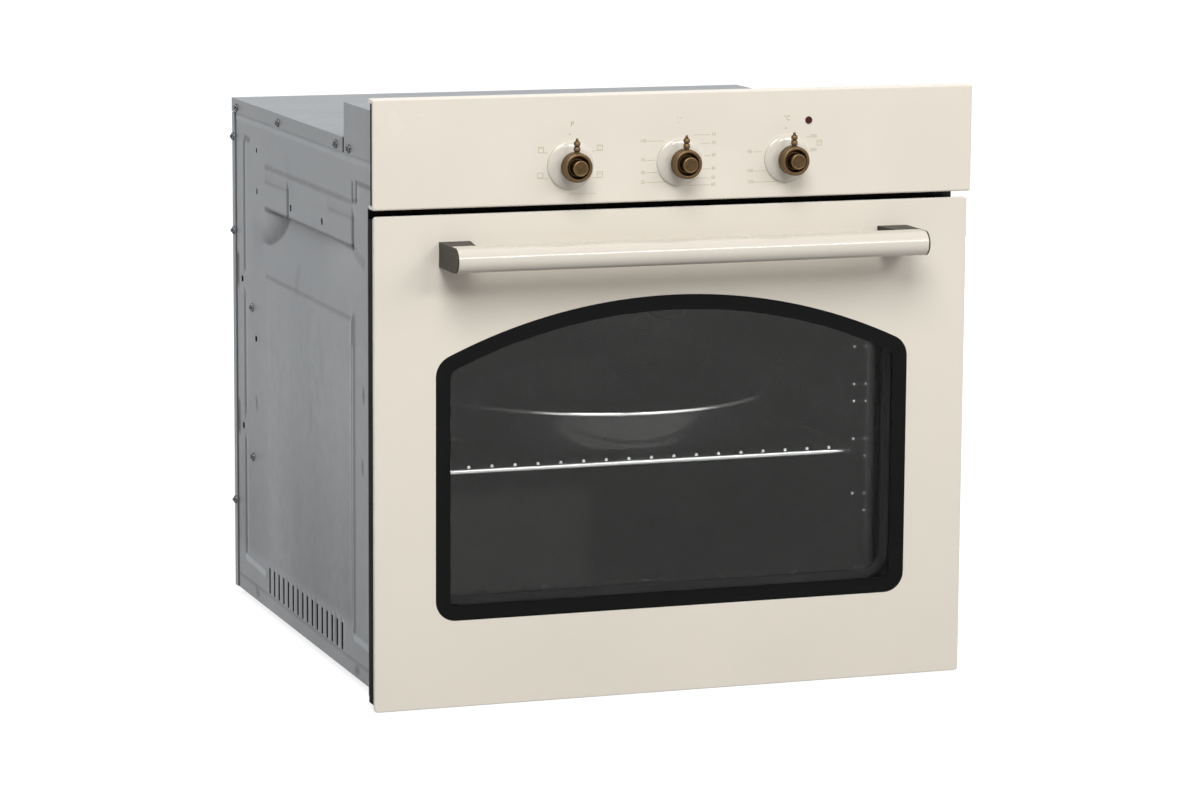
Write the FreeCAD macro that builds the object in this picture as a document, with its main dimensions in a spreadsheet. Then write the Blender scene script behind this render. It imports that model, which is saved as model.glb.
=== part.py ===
import FreeCAD, Part
import math
import os
import re

import Sketcher

V = FreeCAD.Vector

# How many there are of what repeats
VENT_COUNT = 16
REAR_VENT_COUNT = 14
REAR_BEAD_COUNT = 3
LADDER_LEVELS = 5
RACK_LEVEL = 2
RACK_BARS = 17
HEATER_LEGS = 6
OUTLET_COUNT = 5
BLADE_COUNT = 24

# Driving dimensions in millimetres: name, value, meaning
SIZES = [
    ("body_width", 561, "case across the cover flanges"),
    ("body_depth", 546, "front frame's face to the back of the case"),
    ("body_height", 515, "underside of the base to the top cover"),
    ("gauge", 1, "galvanised case sheet"),
    ("cover_flange", 14, "folded edge of the top cover and the control cover"),
    ("cover_slot", 6, "slot between the control cover and the top cover"),
    ("hood_depth", 121, "front frame's face to the control cover's back"),
    ("hood_rise", 33.5, "control cover above the top cover"),
    ("base_flange", 12, "upturned sides of the base"),
    ("rear_flange", 14, "inward edge of a side panel at the back"),
    ("rear_fold", 10, "rear panel's edge folded over a side panel"),
    ("scoop_start", 93, "front frame's face to the hand scoop"),
    ("scoop_end", 125, "hand scoop's rear end ahead of the case's back"),
    ("scoop_drop", 101, "upper lip of the hand scoop below the top cover"),
    ("scoop_fall", 66, "hand scoop from its lip to its foot"),
    ("scoop_depth", 22, "hand scoop into the side"),
    ("bead_radius", 1, "pressed stiffening bead"),
    ("bead_base", 38, "lower end of the beads above the base"),
    ("bead_top", 38, "upper end of the beads below the top cover"),
    ("bead_break", 20, "space between beads near the back"),
    ("bead_inset", 45, "beads near the back from the case's back"),
    ("field_gap", 4, "pressed field below the scoop's foot and above the vent slots"),
    ("field_rise", 0.6, "pressed field proud of the side"),
    ("swage_drop", 59, "long bead below the top cover"),
    ("vent_start", 135, "front frame's face to the first vent slot"),
    ("vent_pitch", 18.1, "vent slot to vent slot"),
    ("vent_width", 3, "vent slot across"),
    ("vent_height", 25.5, "vent slot up and down"),
    ("vent_base", 18, "vent slots above the base"),
    ("rear_vent_drop", 83, "rear vent slots below the top cover"),
    ("rear_field_inset", 100.5, "raised field from the sides of the rear panel"),
    ("rear_field_base", 70, "raised field above the base"),
    ("rear_field_drop", 145, "raised field below the top cover"),
    ("front_overhang", 17, "control panel past each side of the case"),
    ("panel_drop", 52, "control panel's lower edge below the top cover"),
    ("panel_height", 102, "control panel up and down"),
    ("panel_depth", 13, "control panel's folded edge"),
    ("panel_gauge", 1.2, "control panel's sheet"),
    ("panel_edge", 2, "rounding of the control panel's front edges"),
    ("panel_arris", 0.1, "flat left between the control panel's two roundings"),
    ("panel_lip", 4, "folded edges left at the open ends of the control panel"),
    ("panel_gap", 6, "slot between the control panel and the door"),
    ("panel_step", 4, "control panel's face ahead of the door's"),
    ("tray_gauge", 1, "control tray's sheet"),
    ("door_drop", 7, "door's lower edge below the base"),
    ("door_inset", 2, "door glass inside the ends of the control panel"),
    ("door_depth", 26.5, "door's face to its back"),
    ("door_clear", 3.5, "door's back to the front frame"),
    ("glass_gauge", 4, "outer door glass"),
    ("glass_corner", 3.5, "corner radius of the door glass"),
    ("stile_inset", 2.5, "stile inside the edge of the door glass"),
    ("stile_width", 32, "stile across"),
    ("stile_rise", 4.5, "stile's end inside the edge of the door glass"),
    ("rail_height", 30, "door rail up and down"),
    ("profile_wall", 2, "wall of the door's stiles and rails"),
    ("inner_gauge", 4, "inner door glass"),
    ("inner_overlap", 8, "inner door glass over the stiles and rails"),
    ("inner_clear", 0.3, "room round the inner door glass"),
    ("handle_inset", 62.5, "handle inside the edge of the door glass"),
    ("handle_radius", 11.65, "half-round handle bar"),
    ("handle_reach", 46.5, "door's face to the centre of the handle's round"),
    ("handle_drop", 36.6, "handle below the door's upper edge"),
    ("handle_wall", 2.5, "wall of the handle bar"),
    ("bracket_width", 30, "handle bracket across at the door"),
    ("bracket_tip", 25, "handle bracket across at the bar"),
    ("bracket_cap", 1.5, "bracket's plate over the end of the bar"),
    ("handle_screw_radius", 2.5, "handle screw"),
    ("handle_screw_bite", 20, "handle screw in its bracket"),
    ("handle_head_radius", 4.5, "head of a handle screw"),
    ("handle_head_depth", 3.5, "head of a handle screw"),
    ("hinge_height", 6.5, "hinge axis above the base"),
    ("hinge_setback", 14, "hinge axis ahead of the door's back"),
    ("hinge_inset", 25, "hinge arm inside the stile's outside"),
    ("arm_gauge", 4, "hinge arm's plate"),
    ("arm_radius", 4, "half the height of a hinge arm"),
    ("arm_eye", 5.5, "hinge arm's eye"),
    ("arm_reach", 34, "hinge arm behind the front frame's face"),
    ("receiver_wall", 4, "hinge receiver each side of the arm"),
    ("receiver_height", 14, "hinge receiver up and down"),
    ("pin_radius", 3, "hinge pin"),
    ("pin_length", 10, "hinge pin"),
    ("shaft_clear", 0.05, "radial room of a turning shaft"),
    ("swing_clear", 0.4, "room beside a moving piece"),
    ("knob_spacing", 107.5, "knob to knob"),
    ("knob_rise", 36.5, "knob axis above the control panel's lower edge"),
    ("bezel_radius", 22.5, "ring behind a knob"),
    ("bezel_rim", 1.4, "upright edge of a ring"),
    ("bezel_crown", 3.8, "domed part of a ring"),
    ("knob_gap", 0.5, "knob ahead of its ring"),
    ("neck_radius", 9, "knob's neck behind its disc"),
    ("neck_depth", 7.5, "knob's neck behind its disc"),
    ("disc_radius", 14, "knob's disc"),
    ("disc_depth", 12.5, "knob's disc"),
    ("disc_slope", 0.4, "disc narrower at its front"),
    ("grip_radius", 7.4, "knob's grip"),
    ("grip_depth", 6, "knob's grip ahead of its disc"),
    ("pointer_radius", 3.1, "large beads of a knob's pointer"),
    ("pointer_tip", 1.4, "small bead of a knob's pointer"),
    ("spindle_radius", 3, "control spindle"),
    ("spindle_seat", 12, "spindle inside its control"),
    ("socket_depth", 14, "spindle inside its knob"),
    ("bush_radius", 5, "threaded neck of a control"),
    ("bush_proud", 2.5, "neck ahead of the control panel's face"),
    ("hole_clear", 0.25, "radial room of a passing hole"),
    ("switch_side", 42, "control's housing across"),
    ("switch_depth", 34, "control's housing front to back"),
    ("lamp_offset", 129.5, "indicator lamp from the centre"),
    ("lamp_rise", 72.3, "indicator lamp above the control panel's lower edge"),
    ("lamp_radius", 3.2, "indicator lens"),
    ("lamp_proud", 1.2, "indicator lens ahead of the control panel's face"),
    ("frame_inset", 5.5, "front frame inside the ends of the control panel"),
    ("frame_gauge", 1.5, "front frame's sheet"),
    ("frame_lip", 5, "front frame inside the muffle at its sides and top"),
    ("frame_sill", 35, "front frame above the muffle's floor"),
    ("fixing_inset", 11, "cabinet screw holes inside the ends of the control panel"),
    ("fixing_drop", 47, "upper cabinet screw holes below the door's upper edge"),
    ("fixing_base", 110, "lower cabinet screw holes above the base"),
    ("fixing_radius", 2.25, "cabinet screw hole"),
    ("outlet_length", 60, "air outlet slot across"),
    ("outlet_pitch", 80, "air outlet slot to air outlet slot"),
    ("outlet_height", 12, "air outlet slot up and down"),
    ("outlet_drop", 30, "air outlet slots below the control panel"),
    ("gasket_width", 8, "door seal across"),
    ("gasket_margin", 4, "door seal from the front frame's opening"),
    ("gasket_clear", 0.4, "door seal to the closed door"),
    ("cavity_margin", 57, "muffle's wall inside the side of the case"),
    ("roof_drop", 131, "muffle's roof below the top cover"),
    ("cavity_rear", 134.5, "muffle's back ahead of the case's back"),
    ("cavity_floor", 62, "muffle's floor above the base"),
    ("cavity_gauge", 1, "muffle's sheet"),
    ("cavity_corner", 16, "rounded edges of the muffle"),
    ("insulation", 30, "mineral wool"),
    ("heater_room", 14, "space under the muffle for the lower element"),
    ("heater_radius", 3.25, "heating element's tube"),
    ("heater_margin", 74, "outer legs of a heating element from the muffle's wall"),
    ("heater_front", 45, "heating element's front turn behind the front frame's face"),
    ("heater_back", 24, "heating element's rear turn ahead of the muffle's back"),
    ("heater_flat", 3.4, "straight between the two bends of an element's turn"),
    ("heater_drop", 16, "upper element's axis below the muffle's roof"),
    ("heater_tail", 12, "element's terminal behind the mineral wool"),
    ("heater_plate", 2, "element's mounting plate and strap"),
    ("heater_plate_height", 16, "element's mounting plate up and down"),
    ("ladder_wire", 2, "runner of a side rack"),
    ("ladder_post", 2.5, "upright of a side rack"),
    ("ladder_stand", 3, "upright's axis from the muffle's wall"),
    ("ladder_step", 3.7, "runner's axis inside the upright's"),
    ("ladder_base", 92, "lowest runner above the base"),
    ("ladder_head", 76, "highest bearing runner below the muffle's roof"),
    ("ladder_guide", 17, "guide runner above its bearing runner"),
    ("ladder_front", 28, "front upright behind the front frame's face"),
    ("ladder_back", 30, "rear upright ahead of the muffle's back"),
    ("rack_rail", 3, "shelf's frame wire"),
    ("rack_wire", 1.5, "shelf's bars"),
    ("rack_brace", 2.5, "shelf's cross bar"),
    ("rack_overlap", 1.7, "shelf's frame over the runners"),
    ("rack_margin", 30, "outer bars inside the shelf's frame"),
    ("rack_bend", 14, "bend of the shelf's frame wire"),
    ("rack_front", 36, "shelf's front wire behind the front frame's face"),
    ("rack_rear", 25.5, "shelf's rear wire ahead of the muffle's back"),
    ("weld_sink", 0.6, "wires sunk into each other where welded"),
    ("tray_margin", 1, "round tray's rim inside the shelf's outer wires"),
    ("tray_slope", 14, "round tray's foot inside its rim"),
    ("tray_depth", 43, "round tray up and down"),
    ("tray_sheet", 1.2, "round tray's wall"),
    ("tray_bead", 2.2, "round tray's rolled rim"),
    ("tray_seat", 0.05, "round tray above the shelf's bars"),
    ("light_inset", 74, "oven light from the muffle's wall"),
    ("light_drop", 72, "oven light below the muffle's roof"),
    ("light_radius", 22, "lamp holder"),
    ("lens_radius", 28, "oven light's glass"),
    ("lens_rim", 5, "straight edge of the oven light's glass"),
    ("lens_crown", 9, "domed part of the oven light's glass"),
    ("bulb_radius", 2, "temperature sensor"),
    ("bulb_length", 90, "temperature sensor"),
    ("bulb_stand", 12, "temperature sensor from the muffle's back"),
    ("bulb_drop", 50, "temperature sensor below the muffle's roof"),
    ("bulb_inset", 94, "temperature sensor's middle from the muffle's wall"),
    ("clip_width", 6, "clip of the temperature sensor"),
    ("duct_margin", 5, "plate over the mineral wool past its sides"),
    ("duct_tail", 20, "plate over the mineral wool past its back"),
    ("fan_setback", 173, "fan axis behind the front frame's face"),
    ("fan_height", 40, "fan axis above the duct plate"),
    ("fan_length", 200, "fan rotor"),
    ("fan_radius", 28, "fan rotor"),
    ("fan_room", 5, "fan housing round the rotor"),
    ("fan_disc", 2, "end disc of the rotor"),
    ("blade_depth", 7, "rotor blade in from the rim"),
    ("blade_gauge", 1.2, "rotor blade"),
    ("motor_radius", 24, "fan motor"),
    ("motor_length", 42, "fan motor"),
    ("brace_inset", 67, "rear brace ahead of the case's back"),
    ("brace_base", 139, "rear brace above the base"),
    ("brace_drop", 200, "rear brace below the top cover"),
    ("brace_flange", 16, "rear brace's bent ends"),
    ("inlet_inset", 75.5, "mains inlet inside the side of the case"),
    ("inlet_drop", 119, "mains inlet below the top cover"),
    ("inlet_bore", 5, "bore of the cable gland"),
    ("inlet_radius", 9, "cable gland"),
    ("inlet_collar", 12, "cable gland's collar"),
    ("inlet_proud", 12, "cable gland behind the rear panel"),
    ("inlet_tail", 8, "cable gland ahead of the rear panel"),
    ("block_width", 46, "terminal block across"),
    ("block_height", 24, "terminal block up and down"),
    ("block_depth", 22, "terminal block front to back"),
    ("block_lift", 40, "terminal block above the mains inlet"),
    ("screw_radius", 1.7, "case screw"),
    ("screw_head", 4.3, "head of a case screw"),
    ("screw_crown", 2.5, "head of a case screw"),
    ("screw_bite", 6, "case screw under its head"),
    ("cover_screw_drop", 9, "cover screws below the top cover"),
    ("cover_screw_rear", 20, "rear cover screws from the case's back"),
    ("cover_screw_middle", 185, "middle cover screws from the case's back"),
    ("cover_screw_front", 28, "front cover screws behind the control cover"),
    ("hood_screw_inset", 17, "control cover's screws ahead of its back"),
    ("brace_screw_inset", 10, "side screws inside the rear brace's ends"),
    ("rear_screw_base", 92, "lowest rear screws above the base"),
    ("rear_screw_middle", 138, "middle rear screws below the top cover"),
    ("rear_screw_top", 40, "highest rear screws below the top cover"),
]

# Places worked out from the driving dimensions: name, formula, meaning
PLACES = [
    ("frame_front", "-body_depth / 2", "front frame's face"),
    ("frame_back", "frame_front + frame_gauge", "front frame's rear side"),
    ("case_back", "body_depth / 2", "back of the case"),
    ("rear_face", "case_back - gauge", "rear panel's outside"),
    ("rear_inner", "rear_face - gauge", "rear panel's inside"),
    ("case_side", "body_width / 2", "outside of the cover flanges"),
    ("side_outer", "case_side - gauge", "side panel's outside"),
    ("side_inner", "side_outer - gauge", "side panel's inside"),
    ("cover_under", "body_height - gauge", "underside of the top cover"),
    ("flange_foot", "body_height - cover_flange", "lower edge of the cover flanges"),
    ("hood_back", "frame_front + hood_depth", "control cover's back"),
    ("hood_top", "body_height + hood_rise", "control cover's top"),
    ("front_half", "case_side + front_overhang", "end of the control panel"),
    ("frame_half", "front_half - frame_inset", "end of the front frame"),
    ("fixing_x", "front_half - fixing_inset", "cabinet screw holes"),
    ("panel_bottom", "body_height - panel_drop", "control panel's lower edge"),
    ("panel_top", "panel_bottom + panel_height", "control panel's upper edge"),
    ("door_back", "frame_front - door_clear", "door's back"),
    ("door_front", "door_back - door_depth", "door's face"),
    ("glass_back", "door_front + glass_gauge", "outer glass's rear side"),
    ("door_bottom", "-door_drop", "door's lower edge"),
    ("door_top", "panel_bottom - panel_gap", "door's upper edge"),
    ("door_height", "door_top - door_bottom", "door glass up and down"),
    ("door_half", "front_half - door_inset", "edge of the door glass"),
    ("fixing_top", "door_top - fixing_drop", "upper cabinet screw holes"),
    ("door_middle", "(door_bottom + door_top) / 2", "middle of the door"),
    ("panel_front", "door_front - panel_step", "control panel's face"),
    ("panel_back", "panel_front + panel_depth", "control panel's rear edge"),
    ("tray_back", "panel_back + tray_gauge", "control tray's rear side"),
    ("stile_outer", "door_half - stile_inset", "stile's outside"),
    ("stile_inner", "stile_outer - stile_width", "stile's inside"),
    ("stile_bottom", "door_bottom + stile_rise", "stile's lower end"),
    ("stile_top", "door_top - stile_rise", "stile's upper end"),
    ("inner_front", "door_back - inner_gauge", "inner glass's front side"),
    ("room_front", "glass_back + profile_wall", "front of the hollow in the door's profiles"),
    ("room_back", "inner_front - profile_wall", "back of the hollow in the door's profiles"),
    ("inner_half", "stile_inner + inner_overlap", "half the inner glass's width"),
    ("inner_bottom", "stile_bottom + rail_height - inner_overlap", "inner glass's lower edge"),
    ("inner_top", "stile_top - rail_height + inner_overlap", "inner glass's upper edge"),
    ("handle_y", "door_front - handle_reach", "centre of the handle's round"),
    ("handle_z", "door_top - handle_drop", "handle's height"),
    ("handle_end", "door_half - handle_inset", "handle's end"),
    ("hinge_x", "stile_outer - hinge_inset", "middle of a hinge arm"),
    ("hinge_y", "door_back - hinge_setback", "hinge axis"),
    ("arm_back", "frame_front + arm_reach", "hinge arm's rear end"),
    ("knob_z", "panel_bottom + knob_rise", "knob axis"),
    ("bezel_front", "panel_front - bezel_rim - bezel_crown", "front of a knob's ring"),
    ("dome_radius", "(bezel_radius ^ 2 + bezel_crown ^ 2) / (2 * bezel_crown)", "ring's round"),
    ("knob_back", "bezel_front - knob_gap", "knob's back"),
    ("disc_front_radius", "disc_radius - disc_slope", "knob's disc at its front"),
    ("disc_front", "neck_depth + disc_depth", "front of a knob's disc from its back"),
    ("grip_front", "disc_front + grip_depth", "knob's face from its back"),
    ("pointer_y", "knob_back - neck_depth - disc_depth / 2", "middle of a knob's disc"),
    ("pointer_z", "knob_z + disc_front_radius + pointer_radius - weld_sink", "first bead of a pointer"),
    ("lamp_z", "panel_bottom + lamp_rise", "indicator lamp's height"),
    ("cavity_half", "case_side - cavity_margin", "half the muffle's width inside"),
    ("cavity_width", "2 * cavity_half", "inside of the muffle across"),
    ("cavity_roof", "body_height - roof_drop", "muffle's roof"),
    ("cavity_height", "cavity_roof - cavity_floor", "inside of the muffle up and down"),
    ("cavity_middle", "cavity_floor + cavity_height / 2", "middle of the muffle"),
    ("cavity_back", "case_back - cavity_rear", "muffle's back"),
    ("cavity_depth", "cavity_back - frame_back", "inside of the muffle front to back"),
    ("wall_back", "cavity_back + cavity_gauge", "muffle's rear wall, outside"),
    ("mouth_bottom", "cavity_floor + frame_sill", "lower edge of the mouth"),
    ("mouth_top", "cavity_roof - frame_lip", "upper edge of the mouth"),
    ("mouth_middle", "(mouth_bottom + mouth_top) / 2", "middle of the mouth"),
    ("mouth_width", "cavity_width - 2 * frame_lip", "mouth across"),
    ("mouth_height", "mouth_top - mouth_bottom", "mouth up and down"),
    ("wool_half", "cavity_half + cavity_gauge + insulation", "mineral wool's side"),
    ("wool_inner", "cavity_floor - cavity_gauge - heater_room", "mineral wool under the element"),
    ("wool_bottom", "wool_inner - insulation", "mineral wool's underside"),
    ("wool_top", "cavity_roof + cavity_gauge + insulation", "mineral wool's top"),
    ("wool_back", "wall_back + insulation", "mineral wool's back"),
    ("duct_top", "wool_top + gauge", "duct plate's top"),
    ("duct_half", "wool_half + duct_margin", "half the duct plate's width"),
    ("heater_half", "cavity_half - heater_margin", "outer legs of an element"),
    ("heater_pitch", f"2 * heater_half / {HEATER_LEGS - 1}", "leg to leg of an element"),
    ("heater_start", "frame_front + heater_front", "front turn of an element"),
    ("heater_end", "cavity_back - heater_back", "rear turn of an element"),
    ("heater_tip", "wool_back + heater_tail", "element's terminals"),
    ("upper_heater_z", "cavity_roof - heater_drop", "upper element's axis"),
    ("lower_heater_z", "wool_inner + heater_radius", "lower element's axis"),
    (
        "ladder_pitch",
        f"(cavity_roof - ladder_head - ladder_base) / {LADDER_LEVELS - 1}",
        "shelf level to shelf level",
    ),
    ("post_x", "cavity_half - ladder_stand", "side rack's uprights"),
    ("runner_x", "post_x - ladder_step", "side rack's runners"),
    ("ladder_near", "frame_front + ladder_front", "front upright"),
    ("ladder_far", "cavity_back - ladder_back", "rear upright"),
    ("rack_near", "frame_front + rack_front", "shelf's front wire"),
    ("rack_far", "cavity_back - rack_rear", "shelf's rear wire"),
    ("rack_depth", "rack_far - rack_near", "shelf front to back"),
    ("rack_half", "runner_x - ladder_wire - rack_rail + rack_overlap", "shelf's side wires"),
    ("rack_pitch", f"2 * (rack_half - rack_margin) / {RACK_BARS - 1}", "shelf bar to shelf bar"),
    ("rack_middle", "(rack_near + rack_far) / 2", "middle of the shelf"),
    ("tray_radius", "min(rack_half; rack_depth / 2) - tray_bead - tray_margin", "round tray's rim"),
    ("tray_foot_radius", "tray_radius - tray_slope", "round tray's foot"),
    ("scoop_near", "frame_front + scoop_start", "scoop's front end"),
    ("scoop_far", "case_back - scoop_end", "scoop's rear end"),
    ("scoop_lip", "body_height - scoop_drop", "scoop's upper lip"),
    ("scoop_foot", "scoop_lip - scoop_fall", "scoop's lower end"),
    ("bead_y", "case_back - bead_inset", "beads near the back"),
    (
        "bead_length",
        f"(body_height - bead_top - bead_base - {REAR_BEAD_COUNT - 1} * bead_break) / {REAR_BEAD_COUNT}",
        "one bead near the back",
    ),
    ("field_base", "vent_base + vent_height + field_gap", "pressed field's lower edge"),
    ("field_top", "scoop_foot - field_gap", "pressed field's upper edge"),
    ("swage_height", "body_height - swage_drop", "long bead above the hand scoop"),
    ("rear_vent_base", "body_height - rear_vent_drop - vent_height", "rear vent slots"),
    ("inlet_x", "case_side - inlet_inset", "mains inlet"),
    ("inlet_z", "body_height - inlet_drop", "mains inlet's height"),
    ("light_x", "cavity_half - light_inset", "oven light"),
    ("light_z", "cavity_roof - light_drop", "oven light's height"),
    ("lens_dome", "(lens_radius ^ 2 + lens_crown ^ 2) / (2 * lens_crown)", "glass's round"),
    ("bulb_x", "cavity_half - bulb_inset", "temperature sensor's middle"),
    ("bulb_y", "cavity_back - bulb_stand", "temperature sensor"),
    ("bulb_z", "cavity_roof - bulb_drop", "temperature sensor's height"),
    ("fan_y", "frame_front + fan_setback", "fan axis"),
    ("fan_z", "duct_top + fan_height", "fan axis height"),
    ("fan_end", "fan_length / 2", "end of the rotor"),
    ("scroll_radius", "fan_radius + fan_room", "inside of the fan housing"),
    ("housing_end", "fan_end + fan_room", "inside of the fan housing's end plate"),
    ("brace_y", "case_back - brace_inset", "rear brace's rear side"),
    ("brace_top", "body_height - brace_drop", "rear brace's upper edge"),
    ("cover_screw_z", "body_height - cover_screw_drop", "cover screws' height"),
    ("rear_screw_y", "rear_face - rear_fold / 2", "rear screws"),
]

SIZE_NAMES = {name for name, number, meaning in SIZES}
PLACE_NAMES = {name for name, text, meaning in PLACES}
FUNCTIONS = {"min"}
SIDES = (("left", -1), ("right", 1))
TURNS = {
    "x": FreeCAD.Rotation(V(0, 1, 0), 90),
    "y": FreeCAD.Rotation(V(1, 0, 0), -90),
    "z": FreeCAD.Rotation(),
}

doc = FreeCAD.newDocument("built_in_oven")
sheet = doc.addObject("Spreadsheet::Sheet", "sizes")
places = doc.addObject("App::VarSet", "places")
nodes = []


def formula(text):
    """Point each name of a formula at the sheet or at the worked-out places."""

    def owner(found):
        word = found.group(0)
        if word in SIZE_NAMES:
            return "sizes." + word
        if word in PLACE_NAMES:
            return "places." + word
        if word in FUNCTIONS:
            return word
        raise KeyError("unknown name in a formula: " + word)

    return re.sub(r"[a-z_]+", owner, str(text))


def bind(thing, formulas):
    """Bind properties of an object to formulas."""
    for path, text in formulas.items():
        thing.setExpression(path, formula(text))


def fill_sheet():
    """Write the driving dimensions and the places that follow from them."""
    for row, (name, number, meaning) in enumerate(SIZES, start=1):
        sheet.set(f"A{row}", name)
        sheet.set(f"B{row}", str(number))
        sheet.set(f"C{row}", meaning)
        sheet.setAlias(f"B{row}", name)
    doc.recompute()
    for name, text, meaning in PLACES:
        places.addProperty("App::PropertyFloat", name, "Places", meaning)
        bind(places, {name: text})
    doc.recompute()


def value(name):
    """Present number of a driving dimension or a place."""
    return float(sheet.get(name) if name in SIZE_NAMES else getattr(places, name))


def node(piece, label):
    """Name a finished sub-part."""
    piece.Label = label
    nodes.append(piece)
    return piece


def span(side, inner, outer):
    """Low and high formulas of a stretch on the left (-1) or right (1)."""
    if side > 0:
        return inner, outer
    return f"-({outer})", f"-({inner})"


def both(half):
    """Low and high formulas of a stretch about the centre."""
    return f"-({half})", f"({half})"


def box(name, x, y, z):
    """Block between pairs of formulas along X, Y and Z."""
    block = doc.addObject("Part::Box", name)
    for side, axis, (low, high) in (("Length", "x", x), ("Width", "y", y), ("Height", "z", z)):
        bind(block, {side: f"({high}) - ({low})", f"Placement.Base.{axis}": low})
    return block


def rod(name, along, radius, ends, centre):
    """Round bar between two formulas along one axis, centred on the other two."""
    bar = doc.addObject("Part::Cylinder", name)
    bar.Placement = FreeCAD.Placement(V(), TURNS[along])
    low, high = ends
    others = [axis for axis in "xyz" if axis != along]
    bind(bar, {"Radius": radius, "Height": f"({high}) - ({low})", f"Placement.Base.{along}": low})
    bind(bar, {f"Placement.Base.{axis}": text for axis, text in zip(others, centre)})
    return bar


def ball(name, radius, centre):
    """Sphere about a point given by formulas."""
    sphere = doc.addObject("Part::Sphere", name)
    bind(sphere, {"Radius": radius})
    bind(sphere, {f"Placement.Base.{axis}": text for axis, text in zip("xyz", centre)})
    return sphere


def fuse(name, *pieces):
    """Join pieces into one solid, or group those that stand apart."""
    joined = doc.addObject("Part::MultiFuse", name)
    joined.Shapes = list(pieces)
    return joined


def common(name, *pieces):
    """Keep what pieces share."""
    shared = doc.addObject("Part::MultiCommon", name)
    shared.Shapes = list(pieces)
    return shared


def cut(name, base, *tools):
    """Take tools away from a piece."""
    result = doc.addObject("Part::Cut", name)
    result.Base = base
    result.Tool = tools[0] if len(tools) == 1 else fuse(name + "_tools", *tools)
    return result


def shaped(name, shape):
    """Piece whose shape is worked out from the present sizes."""
    piece = doc.addObject("Part::Feature", name)
    piece.Shape = shape
    piece.Placement = FreeCAD.Placement()
    return piece


def front_sketch(owner, name, x, y, z):
    """Sketch that faces the front, at a depth and about a point given by formulas."""
    drawing = owner.newObject("Sketcher::SketchObject", name)
    plane = next(part for part in owner.Origin.OriginFeatures if part.Role == "XZ_Plane")
    drawing.AttachmentSupport = [(plane, "")]
    drawing.MapMode = "FlatFace"
    offsets = {"x": x, "y": z, "z": f"-({y})"}
    bind(drawing, {f"AttachmentOffset.Base.{axis}": text for axis, text in offsets.items()})
    return drawing


def rounded_rectangle(drawing, width, height, corner):
    """Rectangle with round corners about the sketch's own origin."""
    half_wide, half_tall, round_off = 100.0, 80.0, 5.0
    near, far = half_wide - round_off, half_tall - round_off
    lines = [
        drawing.addGeometry(Part.LineSegment(V(*start, 0), V(*end, 0)))
        for start, end in (
            ((-near, -half_tall), (near, -half_tall)),
            ((half_wide, -far), (half_wide, far)),
            ((near, half_tall), (-near, half_tall)),
            ((-half_wide, far), (-half_wide, -far)),
        )
    ]
    arcs = [
        drawing.addGeometry(
            Part.ArcOfCircle(
                Part.Circle(V(*centre, 0), V(0, 0, 1), round_off),
                math.radians(start),
                math.radians(start + 90),
            )
        )
        for centre, start in (
            ((near, -far), -90),
            ((near, far), 0),
            ((-near, far), 90),
            ((-near, -far), 180),
        )
    ]
    for step in range(4):
        drawing.addConstraint(Sketcher.Constraint("Tangent", lines[step], 2, arcs[step], 1))
        drawing.addConstraint(Sketcher.Constraint("Tangent", arcs[step], 2, lines[(step + 1) % 4], 1))
        level = "Vertical" if step % 2 else "Horizontal"
        drawing.addConstraint(Sketcher.Constraint(level, lines[step]))
    for arc in arcs[1:]:
        drawing.addConstraint(Sketcher.Constraint("Equal", arcs[0], arc))
    drawing.addConstraint(Sketcher.Constraint("Symmetric", arcs[0], 3, arcs[2], 3, -1, 1))
    measures = (
        ("corner", Sketcher.Constraint("Radius", arcs[0], round_off), corner),
        ("wide", Sketcher.Constraint("DistanceX", lines[3], 1, lines[1], 1, 2 * half_wide), width),
        ("tall", Sketcher.Constraint("DistanceY", lines[0], 1, lines[2], 1, 2 * half_tall), height),
    )
    for name, constraint, text in measures:
        drawing.renameConstraint(drawing.addConstraint(constraint), name)
        bind(drawing, {f"Constraints.{name}": text})


def plate(name, x, y, z, width, height, corner, depth):
    """Body with a plate of round-cornered outline that reaches forward from y."""
    owner = doc.addObject("PartDesign::Body", name)
    outline = front_sketch(owner, name + "_outline", x, y, z)
    rounded_rectangle(outline, width, height, corner)
    pad = owner.newObject("PartDesign::Pad", name + "_pad")
    pad.Profile = outline
    bind(pad, {"Length": depth})
    doc.recompute()
    return owner


def hollow(owner, x, y, z, width, height, corner, depth):
    """Take a round-cornered pocket out of a plate, forward from y."""
    name = owner.Name
    before = owner.Shape.Volume
    outline = front_sketch(owner, name + "_hollow", x, y, z)
    rounded_rectangle(outline, width, height, corner)
    pocket = owner.newObject("PartDesign::Pocket", name + "_pocket")
    pocket.Profile = outline
    pocket.Reversed = True
    bind(pocket, {"Length": depth})
    doc.recompute()
    if owner.Shape.Volume >= before:
        raise RuntimeError("the pocket cuts nothing: " + name)
    return owner


def soften_front(owner, y, radius):
    """Round the outer edges of a body's front face."""
    tip = owner.Tip
    names = []
    for index, edge in enumerate(tip.Shape.Edges, start=1):
        bounds = edge.BoundBox
        if abs(bounds.YMin - y) < 1e-6 and abs(bounds.YMax - y) < 1e-6:
            names.append(f"Edge{index}")
    rounding = owner.newObject("PartDesign::Fillet", owner.Name + "_rounding")
    rounding.Base = (tip, names)
    bind(rounding, {"Radius": radius})
    doc.recompute()
    return owner


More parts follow.
